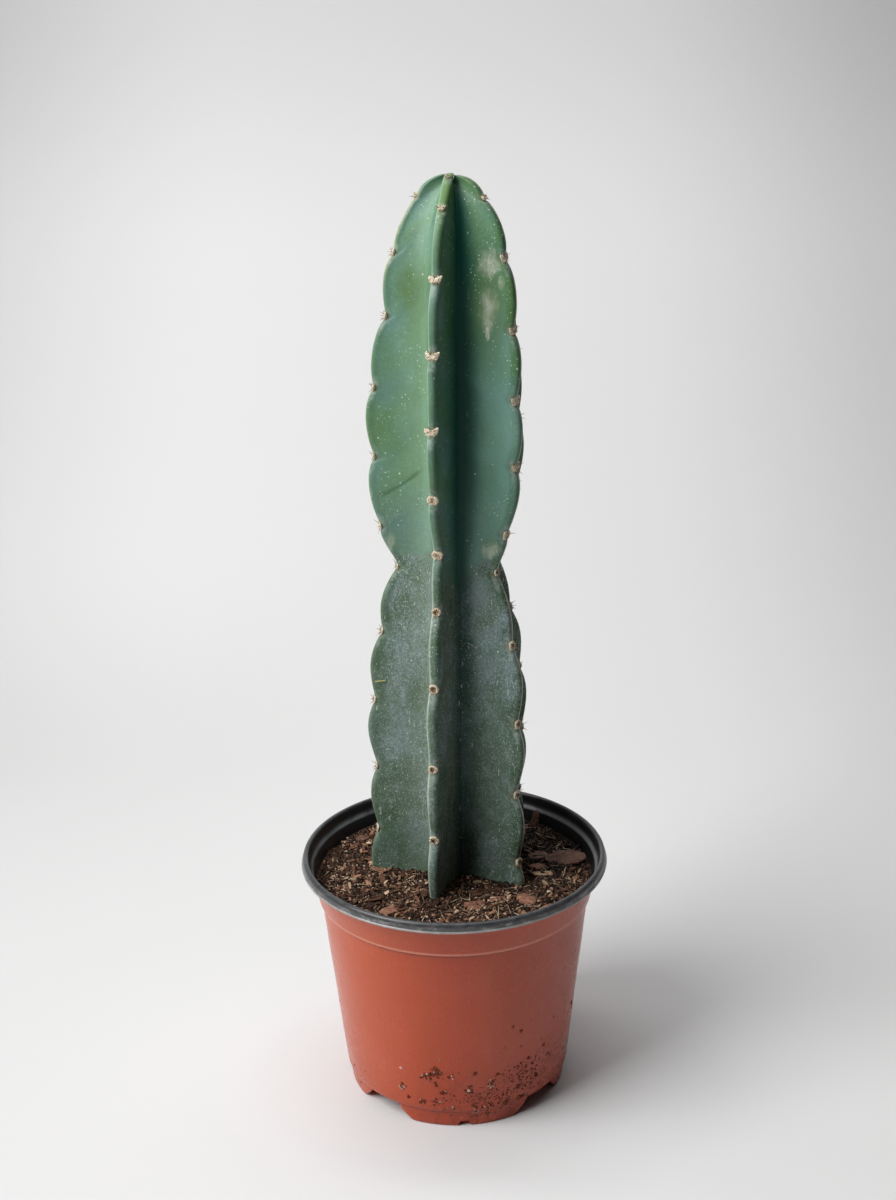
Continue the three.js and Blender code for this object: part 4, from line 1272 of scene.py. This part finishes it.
def makeAreoles():
    rng = np.random.RandomState(21)
    pads = {kind: modelPad(kind) for kind in ("young", "middle", "old")}
    eyes = {"young": 0.35, "middle": 0.55, "old": 1.0}
    copies, hairs, spines = [], [], []
    for spot in areolePlaces():
        kind = "young" if spot["height"] > 335 else "middle" if spot["height"] > 292 else "old"
        small = spot["small"]
        across, along = (size * small * rng.uniform(0.92, 1.08) for size in areoleSize[kind])
        raised = areoleSize["raised"] * rng.uniform(0.9, 1.15) * (0.5 + 0.5 * small)
        axes = np.stack([spot["side"], spot["up"], spot["out"]], 1)
        base = spot["centre"] + spot["out"] * areoleSize["lifted"] * small
        twist = rng.normal() * 0.10
        spin = np.array([[math.cos(twist), -math.sin(twist), 0],
                         [math.sin(twist), math.cos(twist), 0], [0, 0, 1]])
        model = getPoints(pads[kind].data)
        p = (model * np.array([across, along, raised])) @ (axes @ spin).T + base
        p[:, 2] = np.minimum(p[:, 2], areoleSize["highest"])
        copy = linkNew("pad", pads[kind].data.copy())
        setPoints(copy.data, p * mm)
        # pad tone: paler when young, the eye in the middle darker when old
        setTone(copy.data, 1 - padEye(model) * (model[:, 2] > -0.1) * eyes[kind] + rng.normal() * 0.03)
        copies.append(copy)
        # wool hairs stand out of the pad
        for _ in range(areoleSize["hairs"]):
            angle = rng.uniform(0, 2 * math.pi)
            reach = math.sqrt(rng.uniform(0.1, 1.0))
            c, s = math.cos(angle), math.sin(angle)
            root = np.array([c * reach * across * 0.92, s * reach * along * 0.92,
                             raised * math.sqrt(max(0.05, 1 - reach ** 2)) * 0.8])
            lean = np.array([c * reach * 1.3, s * reach * 1.1 - 0.15, 0.8]) + rng.normal(size=3) * 0.45
            lean[2] = abs(lean[2])
            hairs.append((
                axes @ root + base, turnAlong(axes @ (lean / np.linalg.norm(lean)), rng),
                (areoleSize["hairRadius"],) * 2 + (rng.uniform(*areoleSize["hairLength"]),),
                np.clip(0.9 - (0.5 if kind == "old" and reach < 0.5 else 0) + rng.normal() * 0.1, 0, 1)))
        # a few short spines lean out all round the pad
        count = rng.randint(3, 6)
        for n in range(count):
            angle = 2 * math.pi * (n + rng.uniform(-0.3, 0.3)) / count + 0.5
            c, s = math.cos(angle), math.sin(angle)
            lean = np.array([c * 0.85, s * 0.75 - 0.1, rng.uniform(0.45, 1.1)])
            length = rng.uniform(*areoleSize["spineLength"]) * (0.35 + 0.65 * small)
            root = axes @ np.array([c * across * 0.30, s * along * 0.30, 0.5])
            turn = turnAlong(axes @ (lean / np.linalg.norm(lean)), rng)
            thick = areoleSize["spineRadius"] * rng.uniform(0.8, 1.15)
            spines.append((root + spot["centre"], turn, (thick, thick, length), rng.uniform(0, 1)))
    for pad in pads.values():
        bpy.data.objects.remove(pad, do_unlink=True)
    wool = joinPieces(copies)
    wool = joinPieces([wool, copiesFromRows(modelSpine(3, 3, 0.0), "hairs", hairs)])
    keepBelow(wool)
    wool.data.materials.clear()
    wool.data.materials.append(makeWool())
    keepPiece(wool, "areole_wool", "stem", "stem")
    horns = copiesFromRows(modelSpine(6, 4, 0.7), "spines", spines)
    keepBelow(horns)
    horns.data.materials.append(makeSpineHorn())
    shadeSmooth(horns)
    keepPiece(horns, "areole_spines", "stem", "stem")


def makeWool():
    material, shader, place = newMaterial("areoleFelt")
    tuft = noiseAt(place, 1500, 4, 0.7)
    felt = ramp(tuft, [(0.35, (0.22, 0.135, 0.065)), (0.45, (0.68, 0.56, 0.38)), (0.55, (0.90, 0.84, 0.70))])
    eye = ramp(tuft, [(0.42, (0.050, 0.028, 0.018)), (0.60, (0.42, 0.27, 0.12))])
    setShader(shader, mix(span(toneOf(place), 0.25, 0.8), eye, felt), 0.92, 0.15, (tuft, 0.0004, 0.8))
    shader.inputs["Sheen Weight"].default_value = 0.25
    return material


def makeSpineHorn():
    material, shader, place = newMaterial("spineHorn")
    horn = ramp(toneOf(place),
                [(0.0, (0.10, 0.050, 0.026)), (0.5, (0.22, 0.115, 0.055)), (1.0, (0.42, 0.27, 0.14))])
    streak = noiseAt(place, 900, 2)
    colour = mix(span(streak, 0.4, 0.7, 0, 0.35), horn, (0.05, 0.025, 0.015))
    setShader(shader, colour, 0.5, 0.5, (streak, 0.0001, 0.4))
    return material


makeAreoles()
print("scene: areoles and spines are done")

# Soil: a bed with fine relief, crumbs, fibres, flakes and pale grains on it

soilSize = {
    "edge": 72.4,
    "level": 117.3,
    "edgeDrop": 1.3,
    "overlap": 0.4,
    "cells": 280,
    # the bed's side down the pot's inside: share of 72.6 and height
    "rim": 72.6,
    "side": ((0.985, 114.0), (0.955, 107.0), (0.845, 40.0), (57.6 / 72.6, 12.0), (0.76, 10.6)),
    "grains": 120,
    "fibres": 640,
    "combed": 16,
}


def soilHeight(x, y):
    rim = (np.hypot(x, y) / soilSize["edge"]) ** 4
    humps = 1.1 * np.sin(x / 17 + 0.6) * np.cos(y / 14 - 0.9)
    ripples = 0.6 * np.sin(x / 7.3 - y / 9.1)
    return soilSize["level"] - soilSize["edgeDrop"] * rim + np.maximum(1 - rim, 0) * (humps + ripples)


def soilRelief(x, y):
    coarse = 0.9 * latticeNoise(x + 200, y + 200, 9.0, 31) + 0.7 * latticeNoise(x + 300, y + 200, 4.3, 32)
    crumbs = (np.abs(latticeNoise(x + 200, y + 300, 2.0, 33)) * 1.3
              + np.abs(latticeNoise(x + 250, y + 210, 1.1, 34)))
    return coarse * 0.75 + crumbs - 0.5


# Height of the bed with its relief at one point
def soilTop(x, y):
    return float(soilHeight(x, y)) + float(soilRelief(np.array([x]), np.array([y]))[0])


# Outline of the stem where it meets the soil
def findStemOutline():
    columns = stemSurface()[1]
    level = int(np.argmin(np.abs(columns[:, :, 2].mean(0) - soilSize["level"])))
    return columns[:, level, :2]


stemOutline = findStemOutline()


# How far points lie outside the stem's outline, below zero inside it
def outsideStem(x, y):
    x, y = np.atleast_1d(x).astype(float), np.atleast_1d(y).astype(float)
    nearest = np.full(x.shape, 1e9)
    inside = np.zeros(x.shape, bool)
    for (ax, ay), (bx, by) in zip(stemOutline, np.roll(stemOutline, -1, 0)):
        dx, dy = bx - ax, by - ay
        t = np.clip(((x - ax) * dx + (y - ay) * dy) / (dx * dx + dy * dy + 1e-9), 0, 1)
        nearest = np.minimum(nearest, np.hypot(x - ax - t * dx, y - ay - t * dy))
        if ay != by:
            inside ^= ((ay > y) != (by > y)) & (x < (bx - ax) * (y - ay) / (by - ay) + ax)
    return np.where(inside, -nearest, nearest)


# Soil heaped a little against the stem
def heapAt(distance):
    return 1.1 * np.exp(-np.maximum(distance, 0) / 2.2)


def makeSoilBed():
    cells, half = soilSize["cells"], soilSize["edge"] + soilSize["overlap"]
    soil = startFrom(bpy.ops.mesh.primitive_grid_add, x_subdivisions=cells, y_subdivisions=cells,
                     size=2 * half * mm)
    p = getPoints(soil.data) / mm
    radius = np.hypot(p[:, 0], p[:, 1])
    # square grid drawn into a round one, so that its rim is clean
    side = np.maximum(np.abs(p[:, 0]), np.abs(p[:, 1]))
    pull = np.where(radius > 1e-6, side / np.maximum(radius, 1e-6), 1)
    pull = 1 + (pull - 1) * np.clip(side / half, 0, 1) ** 2
    x, y = p[:, 0] * pull, p[:, 1] * pull
    radius = np.hypot(x, y)
    distance = outsideStem(x, y)
    fade = np.clip((radius.max() - radius) / 2.5, 0, 1)
    z = soilHeight(x, y) + soilRelief(x, y) * (0.35 + 0.65 * fade) + heapAt(distance)
    z = np.where(distance < -1.2, z - 12, z)
    setPoints(soil.data, np.stack([x, y, z], 1) * mm)
    # the rim goes down the pot's inside to the floor
    editAll(soil, "DESELECT")
    bpy.ops.mesh.select_non_manifold()
    for share, height in soilSize["side"]:
        bpy.ops.mesh.extrude_region_move()
        objectMode()
        chosen = np.array([v.select for v in soil.data.vertices])
        p = getPoints(soil.data) / mm
        p[chosen, :2] *= (share * soilSize["rim"] / np.hypot(p[chosen, 0], p[chosen, 1]))[:, None]
        p[chosen, 2] = height
        setPoints(soil.data, p * mm)
        bpy.ops.object.mode_set(mode="EDIT")
    bpy.ops.mesh.edge_face_add()
    objectMode()
    shadeSmooth(soil)
    soil.data.materials.append(makeEarth())
    keepPiece(soil, "soil_bed", "soil", "soil")


# Painted shadow: the soil behind the stem to the right, where the stem's shadow falls, is painted dark
def paintedStemShadow(place):
    flat = mapped(place, (1, 0.75, 0), (0, 0, 0), (-0.044, -0.013, 0))
    return span(vectorNode("LENGTH", flat)["Value"], 0.037, 0.017, 0.0, 0.86)


def makeEarth():
    material, shader, place = newMaterial("pottingEarth")
    grain = noiseAt(place, 1100, 5, 0.72)
    coarse = noiseAt(place, 420, 3, 0.6)
    colour = layered(ramp(grain, [(0.38, (0.006, 0.004, 0.003)), (0.50, (0.046, 0.025, 0.016)),
                                  (0.60, (0.190, 0.108, 0.070)), (0.72, (0.46, 0.31, 0.21))]), [
        (times(patches(place, 30, 0.45, 0.65), 0.4), (0.018, 0.011, 0.008)),
        # painted shade in the low places between the crumbs
        (span(coarse, 0.50, 0.38, 0.0, 0.9), (0.006, 0.004, 0.003)),
        # painted shadow of the stem
        (paintedStemShadow(place), (0.004, 0.003, 0.002))])
    setShader(shader, colour, span(grain, 0.3, 0.7, 0.95, 0.78), 0.25, (plus(grain, coarse), 0.0010, 0.9))
    return material


def makeLitter(name, stops, scale=1400, rough=0.9):
    material, shader, place = newMaterial(name)
    grain = noiseAt(place, scale, 4, 0.7)
    colour = layered(ramp(toneOf(place), stops), [
        (span(grain, 0.35, 0.62, 0.55, 0.0), (0.015, 0.009, 0.006)),
        # painted shadow of the stem on the bits lying in it
        (paintedStemShadow(place), (0.010, 0.007, 0.005))])
    setShader(shader, colour, rough, 0.25, (grain, 0.0003, 0.8))
    return material


# Scattered places on the soil clear of the stem, seeded
def scatterSoil(rng, count, clear, widest=71.2):
    found = []
    while sum(len(f) for f in found) < count:
        r = widest * np.sqrt(rng.uniform(0, 1, count * 2))
        a = rng.uniform(0, 2 * math.pi, count * 2)
        x, y = r * np.cos(a), r * np.sin(a)
        ok = outsideStem(x, y) > clear
        found.append(np.stack([x[ok], y[ok]], 1))
    x, y = np.concatenate(found)[:count].T
    return np.column_stack([x, y, soilHeight(x, y) + soilRelief(x, y) + heapAt(outsideStem(x, y))])


def modelCrumb(seed, flatness):
    crumb = startFrom(bpy.ops.mesh.primitive_ico_sphere_add, subdivisions=1, radius=1)
    p = getPoints(crumb.data)
    shrink = np.random.RandomState(seed).uniform(0.62, 1.25, (len(p), 1)) * np.array([1.0, 0.78, flatness])
    setPoints(crumb.data, p * shrink)
    return crumb


# An angular granule of few faces, for what is smaller than a millimetre
def modelGranule(seed):
    granule = startFrom(bpy.ops.mesh.primitive_cube_add, size=1.5)
    p = getPoints(granule.data)
    setPoints(granule.data, p * np.random.RandomState(seed).uniform(0.55, 1.15, (len(p), 3)))
    return granule


def modelFlake(seed):
    flake = startFrom(bpy.ops.mesh.primitive_cube_add, size=2)
    editAll(flake)
    bpy.ops.mesh.subdivide(number_cuts=1)
    objectMode()
    rng = np.random.RandomState(seed)
    x, y, z = getPoints(flake.data).T.copy()
    y *= np.where(np.abs(x) > 0.5, rng.uniform(0.35, 0.9, len(x)), rng.uniform(0.85, 1.15, len(x)))
    x *= rng.uniform(0.8, 1.1, len(x))
    z = z * rng.uniform(0.7, 1.2, len(x)) + 0.5 * x ** 2 * rng.uniform(-0.6, 1.0)
    setPoints(flake.data, np.stack([x, y, z], 1))
    return flake


# Loose bits over the soil: count, clear of the stem, sizes, stretch, lift, tones, turns, model and its shape
litterTable = {
    "soil_granules": [(3600, 0.2, (0.18, 0.56), (0.8, 2.2), 0.5, (0.62, 1.9), 0.8, modelGranule, (45 + k,))
                      for k in range(3)],
    "soil_crumbs": [(2900, 0.5, (0.28, 0.80), (0.8, 1.7), 0.40, (0.60, 2.3), 0.6, modelCrumb, (50, 0.7)),
                    (1500, 0.5, (0.38, 1.10), (0.8, 1.7), 0.40, (0.60, 2.3), 0.6, modelCrumb, (51, 0.5)),
                    (260, 0.5, (0.9, 1.7), (0.8, 1.7), 0.40, (0.60, 2.3), 0.6, modelCrumb, (52, 0.55))],
}
# pale grains that show in the photograph: place, size and tone
paleGrains = [
    (15.2, -40.3, 1.4, 0.75), (48.3, -26.4, 1.5, 0.9), (63.1, 15.9, 1.0, 1.0), (-52.4, -9.9, 1.9, 0.55),
    (-65.0, 33.0, 1.0, 0.6), (-58.5, 22.9, 1.2, 0.7), (-51.7, 8.8, 1.1, 0.65), (-58.4, 40.5, 0.9, 0.9),
]


def makeCrumbs():
    rng = np.random.RandomState(41)
    peat = makeLitter("peatCrumbs", [
        (0.0, (0.012, 0.006, 0.004)), (0.26, (0.085, 0.038, 0.022)), (0.50, (0.300, 0.155, 0.090)),
        (0.76, (0.66, 0.43, 0.275)), (1.0, (0.95, 0.82, 0.64))])
    for name, rows in litterTable.items():
        parts = []
        for count, clear, (small, large), stretch, lift, tone, loose, model, shape in rows:
            places = scatterSoil(rng, count, clear)
            size = np.exp(rng.uniform(math.log(small), math.log(large), count))
            sizes = np.stack([size * rng.uniform(*stretch, count), size, size], 1)
            places[:, 2] += size * lift
            tones = rng.beta(*tone, count)
            parts.append(copiesAsOne(model(*shape), "bits", places,
                                     randomTurns(rng, count, loose), sizes, tones))
        crumbs = joinPieces(parts)
        crumbs.data.materials.append(peat)
        keepPiece(crumbs, name, "soil")
    # flat bits of bark and coir husk
    parts = []
    for count, length, width, thick, seed in (
            (560, (0.8, 2.2), 0.40, 0.20, 60), (105, (2.0, 4.2), 0.38, 0.14, 61)):
        places = scatterSoil(rng, count, 2.0, 67)
        long = rng.uniform(*length, count)
        sizes = np.stack([long, long * width * rng.uniform(0.6, 1.3, count),
                          long * thick * rng.uniform(0.7, 1.2, count)], 1)
        places[:, 2] += 0.7
        tones = rng.uniform(0, 1, count)
        parts.append(copiesAsOne(modelFlake(seed), "flakes", places,
                                 randomTurns(rng, count, 0.32), sizes, tones))
    flakes = joinPieces(parts)
    flakes.data.materials.append(makeLitter("barkFlakes", [
        (0.0, (0.045, 0.019, 0.011)), (0.40, (0.160, 0.070, 0.040)), (0.75, (0.38, 0.195, 0.115)),
        (1.0, (0.78, 0.55, 0.37))], 900, 0.8))
    keepPiece(flakes, "soil_flakes", "bark")
    # pale grains: grit, seeds and bits of perlite
    count = soilSize["grains"]
    places = scatterSoil(rng, count, 2.0, 68)
    size = rng.uniform(0.35, 0.95, count)
    sizes = np.stack([size * rng.uniform(1, 1.4, count), size, size * 0.8], 1)
    tones = rng.uniform(0, 1, count)
    for n, (x, y, large, tone) in enumerate(paleGrains):
        places[n] = (x, y, soilTop(x, y))
        sizes[n] = (large * 1.3, large, large * 0.8)
        tones[n] = tone
    places[:, 2] += 0.55
    grain = modelCrumb(71, 0.85)
    applyModifier(grain, "SUBSURF", levels=1, render_levels=1)
    grains = copiesAsOne(grain, "grains", places, randomTurns(rng, count, 0.5), sizes, tones)
    grains.data.materials.append(makeLitter("paleGrains", [
        (0.0, (0.22, 0.14, 0.08)), (0.5, (0.42, 0.33, 0.22)), (0.85, (0.60, 0.53, 0.40)),
        (1.0, (0.72, 0.69, 0.60))], 700, 0.7))
    shadeSmooth(grains)
    keepPiece(grains, "soil_grains", "soil")


# Thin bent fibres laid over the crumbs; the first few lie side by side along the right rim
def makeFibres():
    rng = np.random.RandomState(91)
    count, combed, widest = soilSize["fibres"], soilSize["combed"], 68.5
    starts = scatterSoil(rng, count, 3.0, 69)
    starts[:combed, 0] = rng.uniform(56, 64, combed)
    starts[:combed, 1] = rng.uniform(-22, 12, combed)
    lines = []
    for n in range(count):
        length = math.exp(rng.uniform(math.log(3.0), math.log(14.0)))
        heading = rng.uniform(0, 2 * math.pi)
        turn = rng.normal() * 0.05
        if n < combed:
            heading = rng.normal(1.62, 0.10)
        x, y = starts[n, :2]
        # short ones bridge the crumbs
        steps = 3 if length < 8 else 4
        stride = length / (steps - 1)
        places = []
        lift = rng.uniform(0.15, 0.6)
        for k in range(steps):
            r = math.hypot(x, y)
            if r > widest:
                x, y = x * widest / r, y * widest / r
            if float(outsideStem(x, y)[0]) < 0.8:
                break
            arch = 0.5 * math.sin(math.pi * k / (steps - 1)) * rng.uniform(0.4, 1.2)
            places.append((x, y, soilTop(x, y) + lift + arch))
            x += math.cos(heading) * stride
            y += math.sin(heading) * stride
            heading += turn + rng.normal() * 0.03
        if len(places) < 3:
            continue
        thick = rng.uniform(0.6, 1.35)
        lines.append((places, [thick * 0.55] + [thick] * (len(places) - 2) + [thick * 0.55]))
    fibres = tubesAlong("fibres", lines, 0.20, 2)
    material, shader, place = newMaterial("strawFibre")
    straw = ramp(noiseAt(place, 55, 2), [(0.36, (0.090, 0.046, 0.027)), (0.50, (0.28, 0.165, 0.098)),
                                         (0.64, (0.84, 0.66, 0.46))])
    grain = noiseAt(place, 1600, 2)
    colour = mix(span(grain, 0.4, 0.7, 0, 0.4), straw, (0.06, 0.035, 0.02))
    setShader(shader, colour, 0.7, 0.5, (grain, 0.0001, 0.5))
    fibres.data.materials.append(material)
    keepPiece(fibres, "soil_fibres", "soil")


makeSoilBed()
makeCrumbs()
makeFibres()
print("scene: soil is done")

# Bark chips: each stands for its own CAD node; size, turn, tilt and bark

chipTable = [
    ("flat", (22.5, 12.5, 2.2), -4, (9, -7), "brown"),
    ("dark", (11, 10, 2), 24, (-5, -4), "brown"),
    ("upright", (13.5, 5.5, 2), 41, (4, -74), "brown"),
    ("pale", (12, 4.4, 1.9), 8, (5, 3), "pale"),
    ("round", (10, 8, 3), 40, (-7, 6), "red"),
    ("front_left", (13, 7.5, 2.4), 20, (10, 4), "red"),
    ("front_middle", (9.5, 6.5, 2.2), -12, (6, -6), "red"),
    ("front_right", (11, 8.5, 2.6), -38, (8, 5), "red"),
    ("left", (10.5, 6.4, 2.6), 28, (7, -4), "red"),
    ("behind", (8, 6.6, 3), 60, (-5, 6), "brown"),
    ("back", (12, 7, 2.2), 15, (4, 6), "red"),
]


def makeChip(index, node, size, turn, tilt, material):
    chip = startFrom(bpy.ops.mesh.primitive_cube_add, size=2)
    editAll(chip)
    bpy.ops.mesh.subdivide(number_cuts=15)
    objectMode()
    x, y, z = getPoints(chip.data).T.copy()
    rng = np.random.RandomState(200 + index)
    # plan: a blunt ragged leaf shape instead of a square
    angle = np.arctan2(y, x)
    square = np.maximum(np.abs(x), np.abs(y))
    lobes = sum(rng.uniform(-0.07, 0.07) * np.cos(n * angle + rng.uniform(0, 6.3)) for n in range(2, 7))
    saw = 0.05 * latticeNoise(20 + 6 * np.cos(angle), 20 + 6 * np.sin(angle), 0.8, 300 + index)
    reach = 0.93 + lobes + saw
    px = np.sign(np.cos(angle)) * np.abs(np.cos(angle)) ** 0.72 * square * reach
    py = np.sin(angle) * square * reach
    # layers of bark: steps along the grain, thinner towards the edge
    grain = latticeNoise(px * 2.2 + 30, py * 9 + 30 + 2 * index, 1.0, 310 + index)
    layer = np.floor((latticeNoise(px * 1.3 + 50, py * 3.1 + 50, 0.9, 320 + index) + 1) * 2.2) / 4.4 - 0.5
    thin = 1 - 0.55 * square ** 3
    pz = z * thin + np.where(z > 0, 1, -1) * (0.16 * grain + 0.38 * layer) * thin * (np.abs(z) > 0.9)
    pz = (pz + 0.35 * px ** 2 * rng.uniform(-1, 1)) * 0.92
    p = np.stack([px, py, pz], 1) * np.array(size) / 2
    turned = (Matrix.Rotation(math.radians(turn), 3, "Z") @ Matrix.Rotation(math.radians(tilt[1]), 3, "Y")
              @ Matrix.Rotation(math.radians(tilt[0]), 3, "X"))
    low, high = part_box(node)
    centre = np.array((low + high) / 2) / mm
    setPoints(chip.data, (p @ np.array(turned).T + centre) * mm)
    tidyNormals(chip, 1e-7)
    shadeSmooth(chip, 38)
    chip.data.materials.append(material)
    keepPiece(chip, node + "_piece", "bark", node)


def makeBark(name, dark, middle, light):
    material, shader, place = newMaterial(name)
    strand = noiseAt(mapped(place, (1, 3.2, 1.6), (0, 0, 0.25)), 260, 5, 0.7, 0.3)
    bark = ramp(strand, [(0.30, dark), (0.52, middle), (0.74, light)])
    colour = mix(times(specks(place, 900, 0.25, 0.25), 0.5), bark, (0.20, 0.13, 0.085))
    setShader(shader, colour, span(strand, 0.3, 0.7, 0.85, 0.62), 0.5, (strand, 0.0006, 0.8))
    return material


def makeChips():
    finish = {
        "brown": makeBark("barkBrown", (0.036, 0.015, 0.010), (0.135, 0.060, 0.038), (0.280, 0.145, 0.092)),
        "red": makeBark("barkRed", (0.065, 0.024, 0.013), (0.240, 0.104, 0.062), (0.440, 0.240, 0.150)),
        "pale": makeBark("barkPale", (0.19, 0.105, 0.060), (0.46, 0.290, 0.175), (0.70, 0.52, 0.35))}
    for index, (node, size, turn, tilt, bark) in enumerate(chipTable):
        makeChip(index, "bark_chip_" + node, size, turn, tilt, finish[bark])


makeChips()
print("scene: bark chips are done")

# Soil splashes stuck to the pot's lower wall: bearing, height, spread, count, share of pale grains

splashes = [
    (-10.1, 34.7, 3.6, 26, 0.1), (-15.9, 31.1, 2.8, 16, 0.2), (-3.5, 33.0, 1.8, 10, 0.4),
    (-28.2, 21.7, 2.6, 14, 0.5), (-6.9, 22.1, 1.9, 11, 0.2), (-17.6, 15.0, 2.0, 9, 0.2),
    (-11.0, 16.2, 2.2, 12, 0.3), (-10.6, 27.1, 1.2, 6, 0.1), (7.9, 34.8, 1.3, 6, 0.0),
    (15.9, 27.1, 2.8, 12, 0.4), (4.7, 23.5, 3.0, 12, 0.1), (8.9, 9.6, 2.2, 12, 0.5),
    (30.6, 19.4, 1.8, 9, 0.0), (24.2, 12.1, 2.0, 12, 0.0), (32.9, 11.9, 2.6, 10, 0.1),
    (19.3, 31.0, 1.8, 6, 0.0), (41.8, 21.6, 1.3, 5, 0.0), (44.7, 39.7, 0.9, 4, 0.0),
    (49.5, 31.3, 0.9, 3, 0.0), (35.8, 35.8, 0.7, 2, 0.0), (38.2, 31.1, 0.7, 2, 0.0),
    (41.1, 27.7, 0.6, 2, 0.0), (31.1, 34.0, 0.6, 2, 0.0), (25.7, 59.5, 0.7, 3, 0.0),
    (29.8, 54.8, 0.8, 3, 0.0), (22.5, 47.6, 0.3, 1, 0.0), (30.7, 45.4, 0.6, 2, 0.0),
    (72, 48, 1.2, 3, 0.0), (74, 44, 0.8, 2, 0.0), (66, 22, 1.8, 6, 0.0),
    (-25.4, 16.6, 0.9, 3, 0.0), (-76, 49, 0.7, 3, 0.0), (-8.2, 43.4, 0.3, 1, 1.0),
    (-27.8, 34.2, 0.3, 1, 1.0), (-2.7, 12.7, 1.0, 4, 0.3), (20, 20, 11, 36, 0.05),
    (45, 24, 12, 30, 0.0), (-5, 14, 9, 22, 0.2), (60, 60, 22, 12, 0.0), (120, 30, 16, 20, 0.0),
    (170, 40, 24, 10, 0.0), (-60, 14, 8, 8, 0.1), (-130, 24, 14, 9, 0.0), (34, 22, 15, 220, 0.02),
    (12, 15, 11, 130, 0.05), (52, 34, 13, 90, 0.0),
]


def potRadius(z):
    radii, heights = zip(*(ring[1:] for ring in outerRings[firstWallRing:lipRing]))
    return float(np.interp(z, heights, radii))


def makeSplashes():
    rng = np.random.RandomState(77)
    rows = []
    upright = np.array([0, 0, 1.0])
    for bearing, height, spread, count, pale in splashes:
        for _ in range(count):
            z = height + rng.normal() * spread * 0.46
            r = 58.1 if z < 9.4 else potRadius(z)
            out, side = outAndSide(bearing + math.degrees(rng.normal() * spread * 0.5 / r))
            lift = float(archLift(out[:1] * r, out[1:2] * r, 0)[0])
            if z < lift + 0.8 or z < 0.8 or (9.0 < z < 10.6):
                continue
            size = math.exp(rng.uniform(math.log(0.30), math.log(1.0))) * (1.55 if spread < 4 else 0.80)
            turn = np.stack([side, upright, out], 1) @ anySpin(rng)
            rows.append((out * r + upright * z, turn, (size * rng.uniform(0.8, 1.5), size, size * 0.40),
                         rng.uniform(0.75, 1.0) if rng.uniform() < pale else rng.uniform(0, 0.55)))
    dirt = copiesFromRows(modelCrumb(81, 0.9), "dirt", rows)
    dirt.data.materials.append(makeLitter("driedSplash", [
        (0.0, (0.120, 0.018, 0.007)), (0.40, (0.200, 0.040, 0.016)), (0.65, (0.36, 0.110, 0.055)),
        (0.9, (0.60, 0.35, 0.26)), (1.0, (0.80, 0.57, 0.48))], 1500, 0.85))
    keepPiece(dirt, "pot_splashes", "soil")


makeSplashes()
print("scene: pot splashes are done")

# Straw and twigs that stick to the stem, as lines on its skin with their radius and tone

stuckBits = [
    ([(-38.6, 1.3, 224.6), (-36.0, 0.8, 224.5), (-33.0, 0.2, 225.5)], 0.30, 1.0),
    ([(8.3, -10.1, 248.5), (10.7, -10.9, 248.2), (12.7, -11.6, 246.3)], 0.22, 0.6),
    ([(12.7, -11.6, 246.3), (13.0, -11.6, 247.0), (13.2, -11.6, 247.9)], 0.20, 0.6),
    ([(-0.1, -19.9, 255.4), (0.4, -18.4, 256.2), (0.9, -17.1, 256.9)], 0.20, 0.35),
    ([(-39.5, 3.0, 213.0), (-38.7, 2.5, 213.4), (-37.9, 2.1, 213.9)], 0.32, 0.85),
]


def makeStuckBits():
    lines = [(places, (0.7 * radius, radius, 0.7 * radius)) for places, radius, _ in stuckBits]
    bits = tubesAlong("stuck", lines, 1, 4)
    p = getPoints(bits.data) / mm
    # each point takes the tone of the nearest bit
    distances = [np.min([np.linalg.norm(p - np.array(q), axis=1) for q in places], 0)
                 for places, _, _ in stuckBits]
    setTone(bits.data, np.array([tone for _, _, tone in stuckBits])[np.argmin(distances, 0)])
    bits.data.materials.append(makeLitter("stuckStraw", [
        (0.0, (0.10, 0.055, 0.03)), (0.35, (0.30, 0.20, 0.11)), (0.6, (0.52, 0.46, 0.32)),
        (1.0, (0.62, 0.62, 0.16))], 1500, 0.7))
    keepPiece(bits, "stem_stuck_straw", "soil")


makeStuckBits()
print("scene: stuck straw is done")
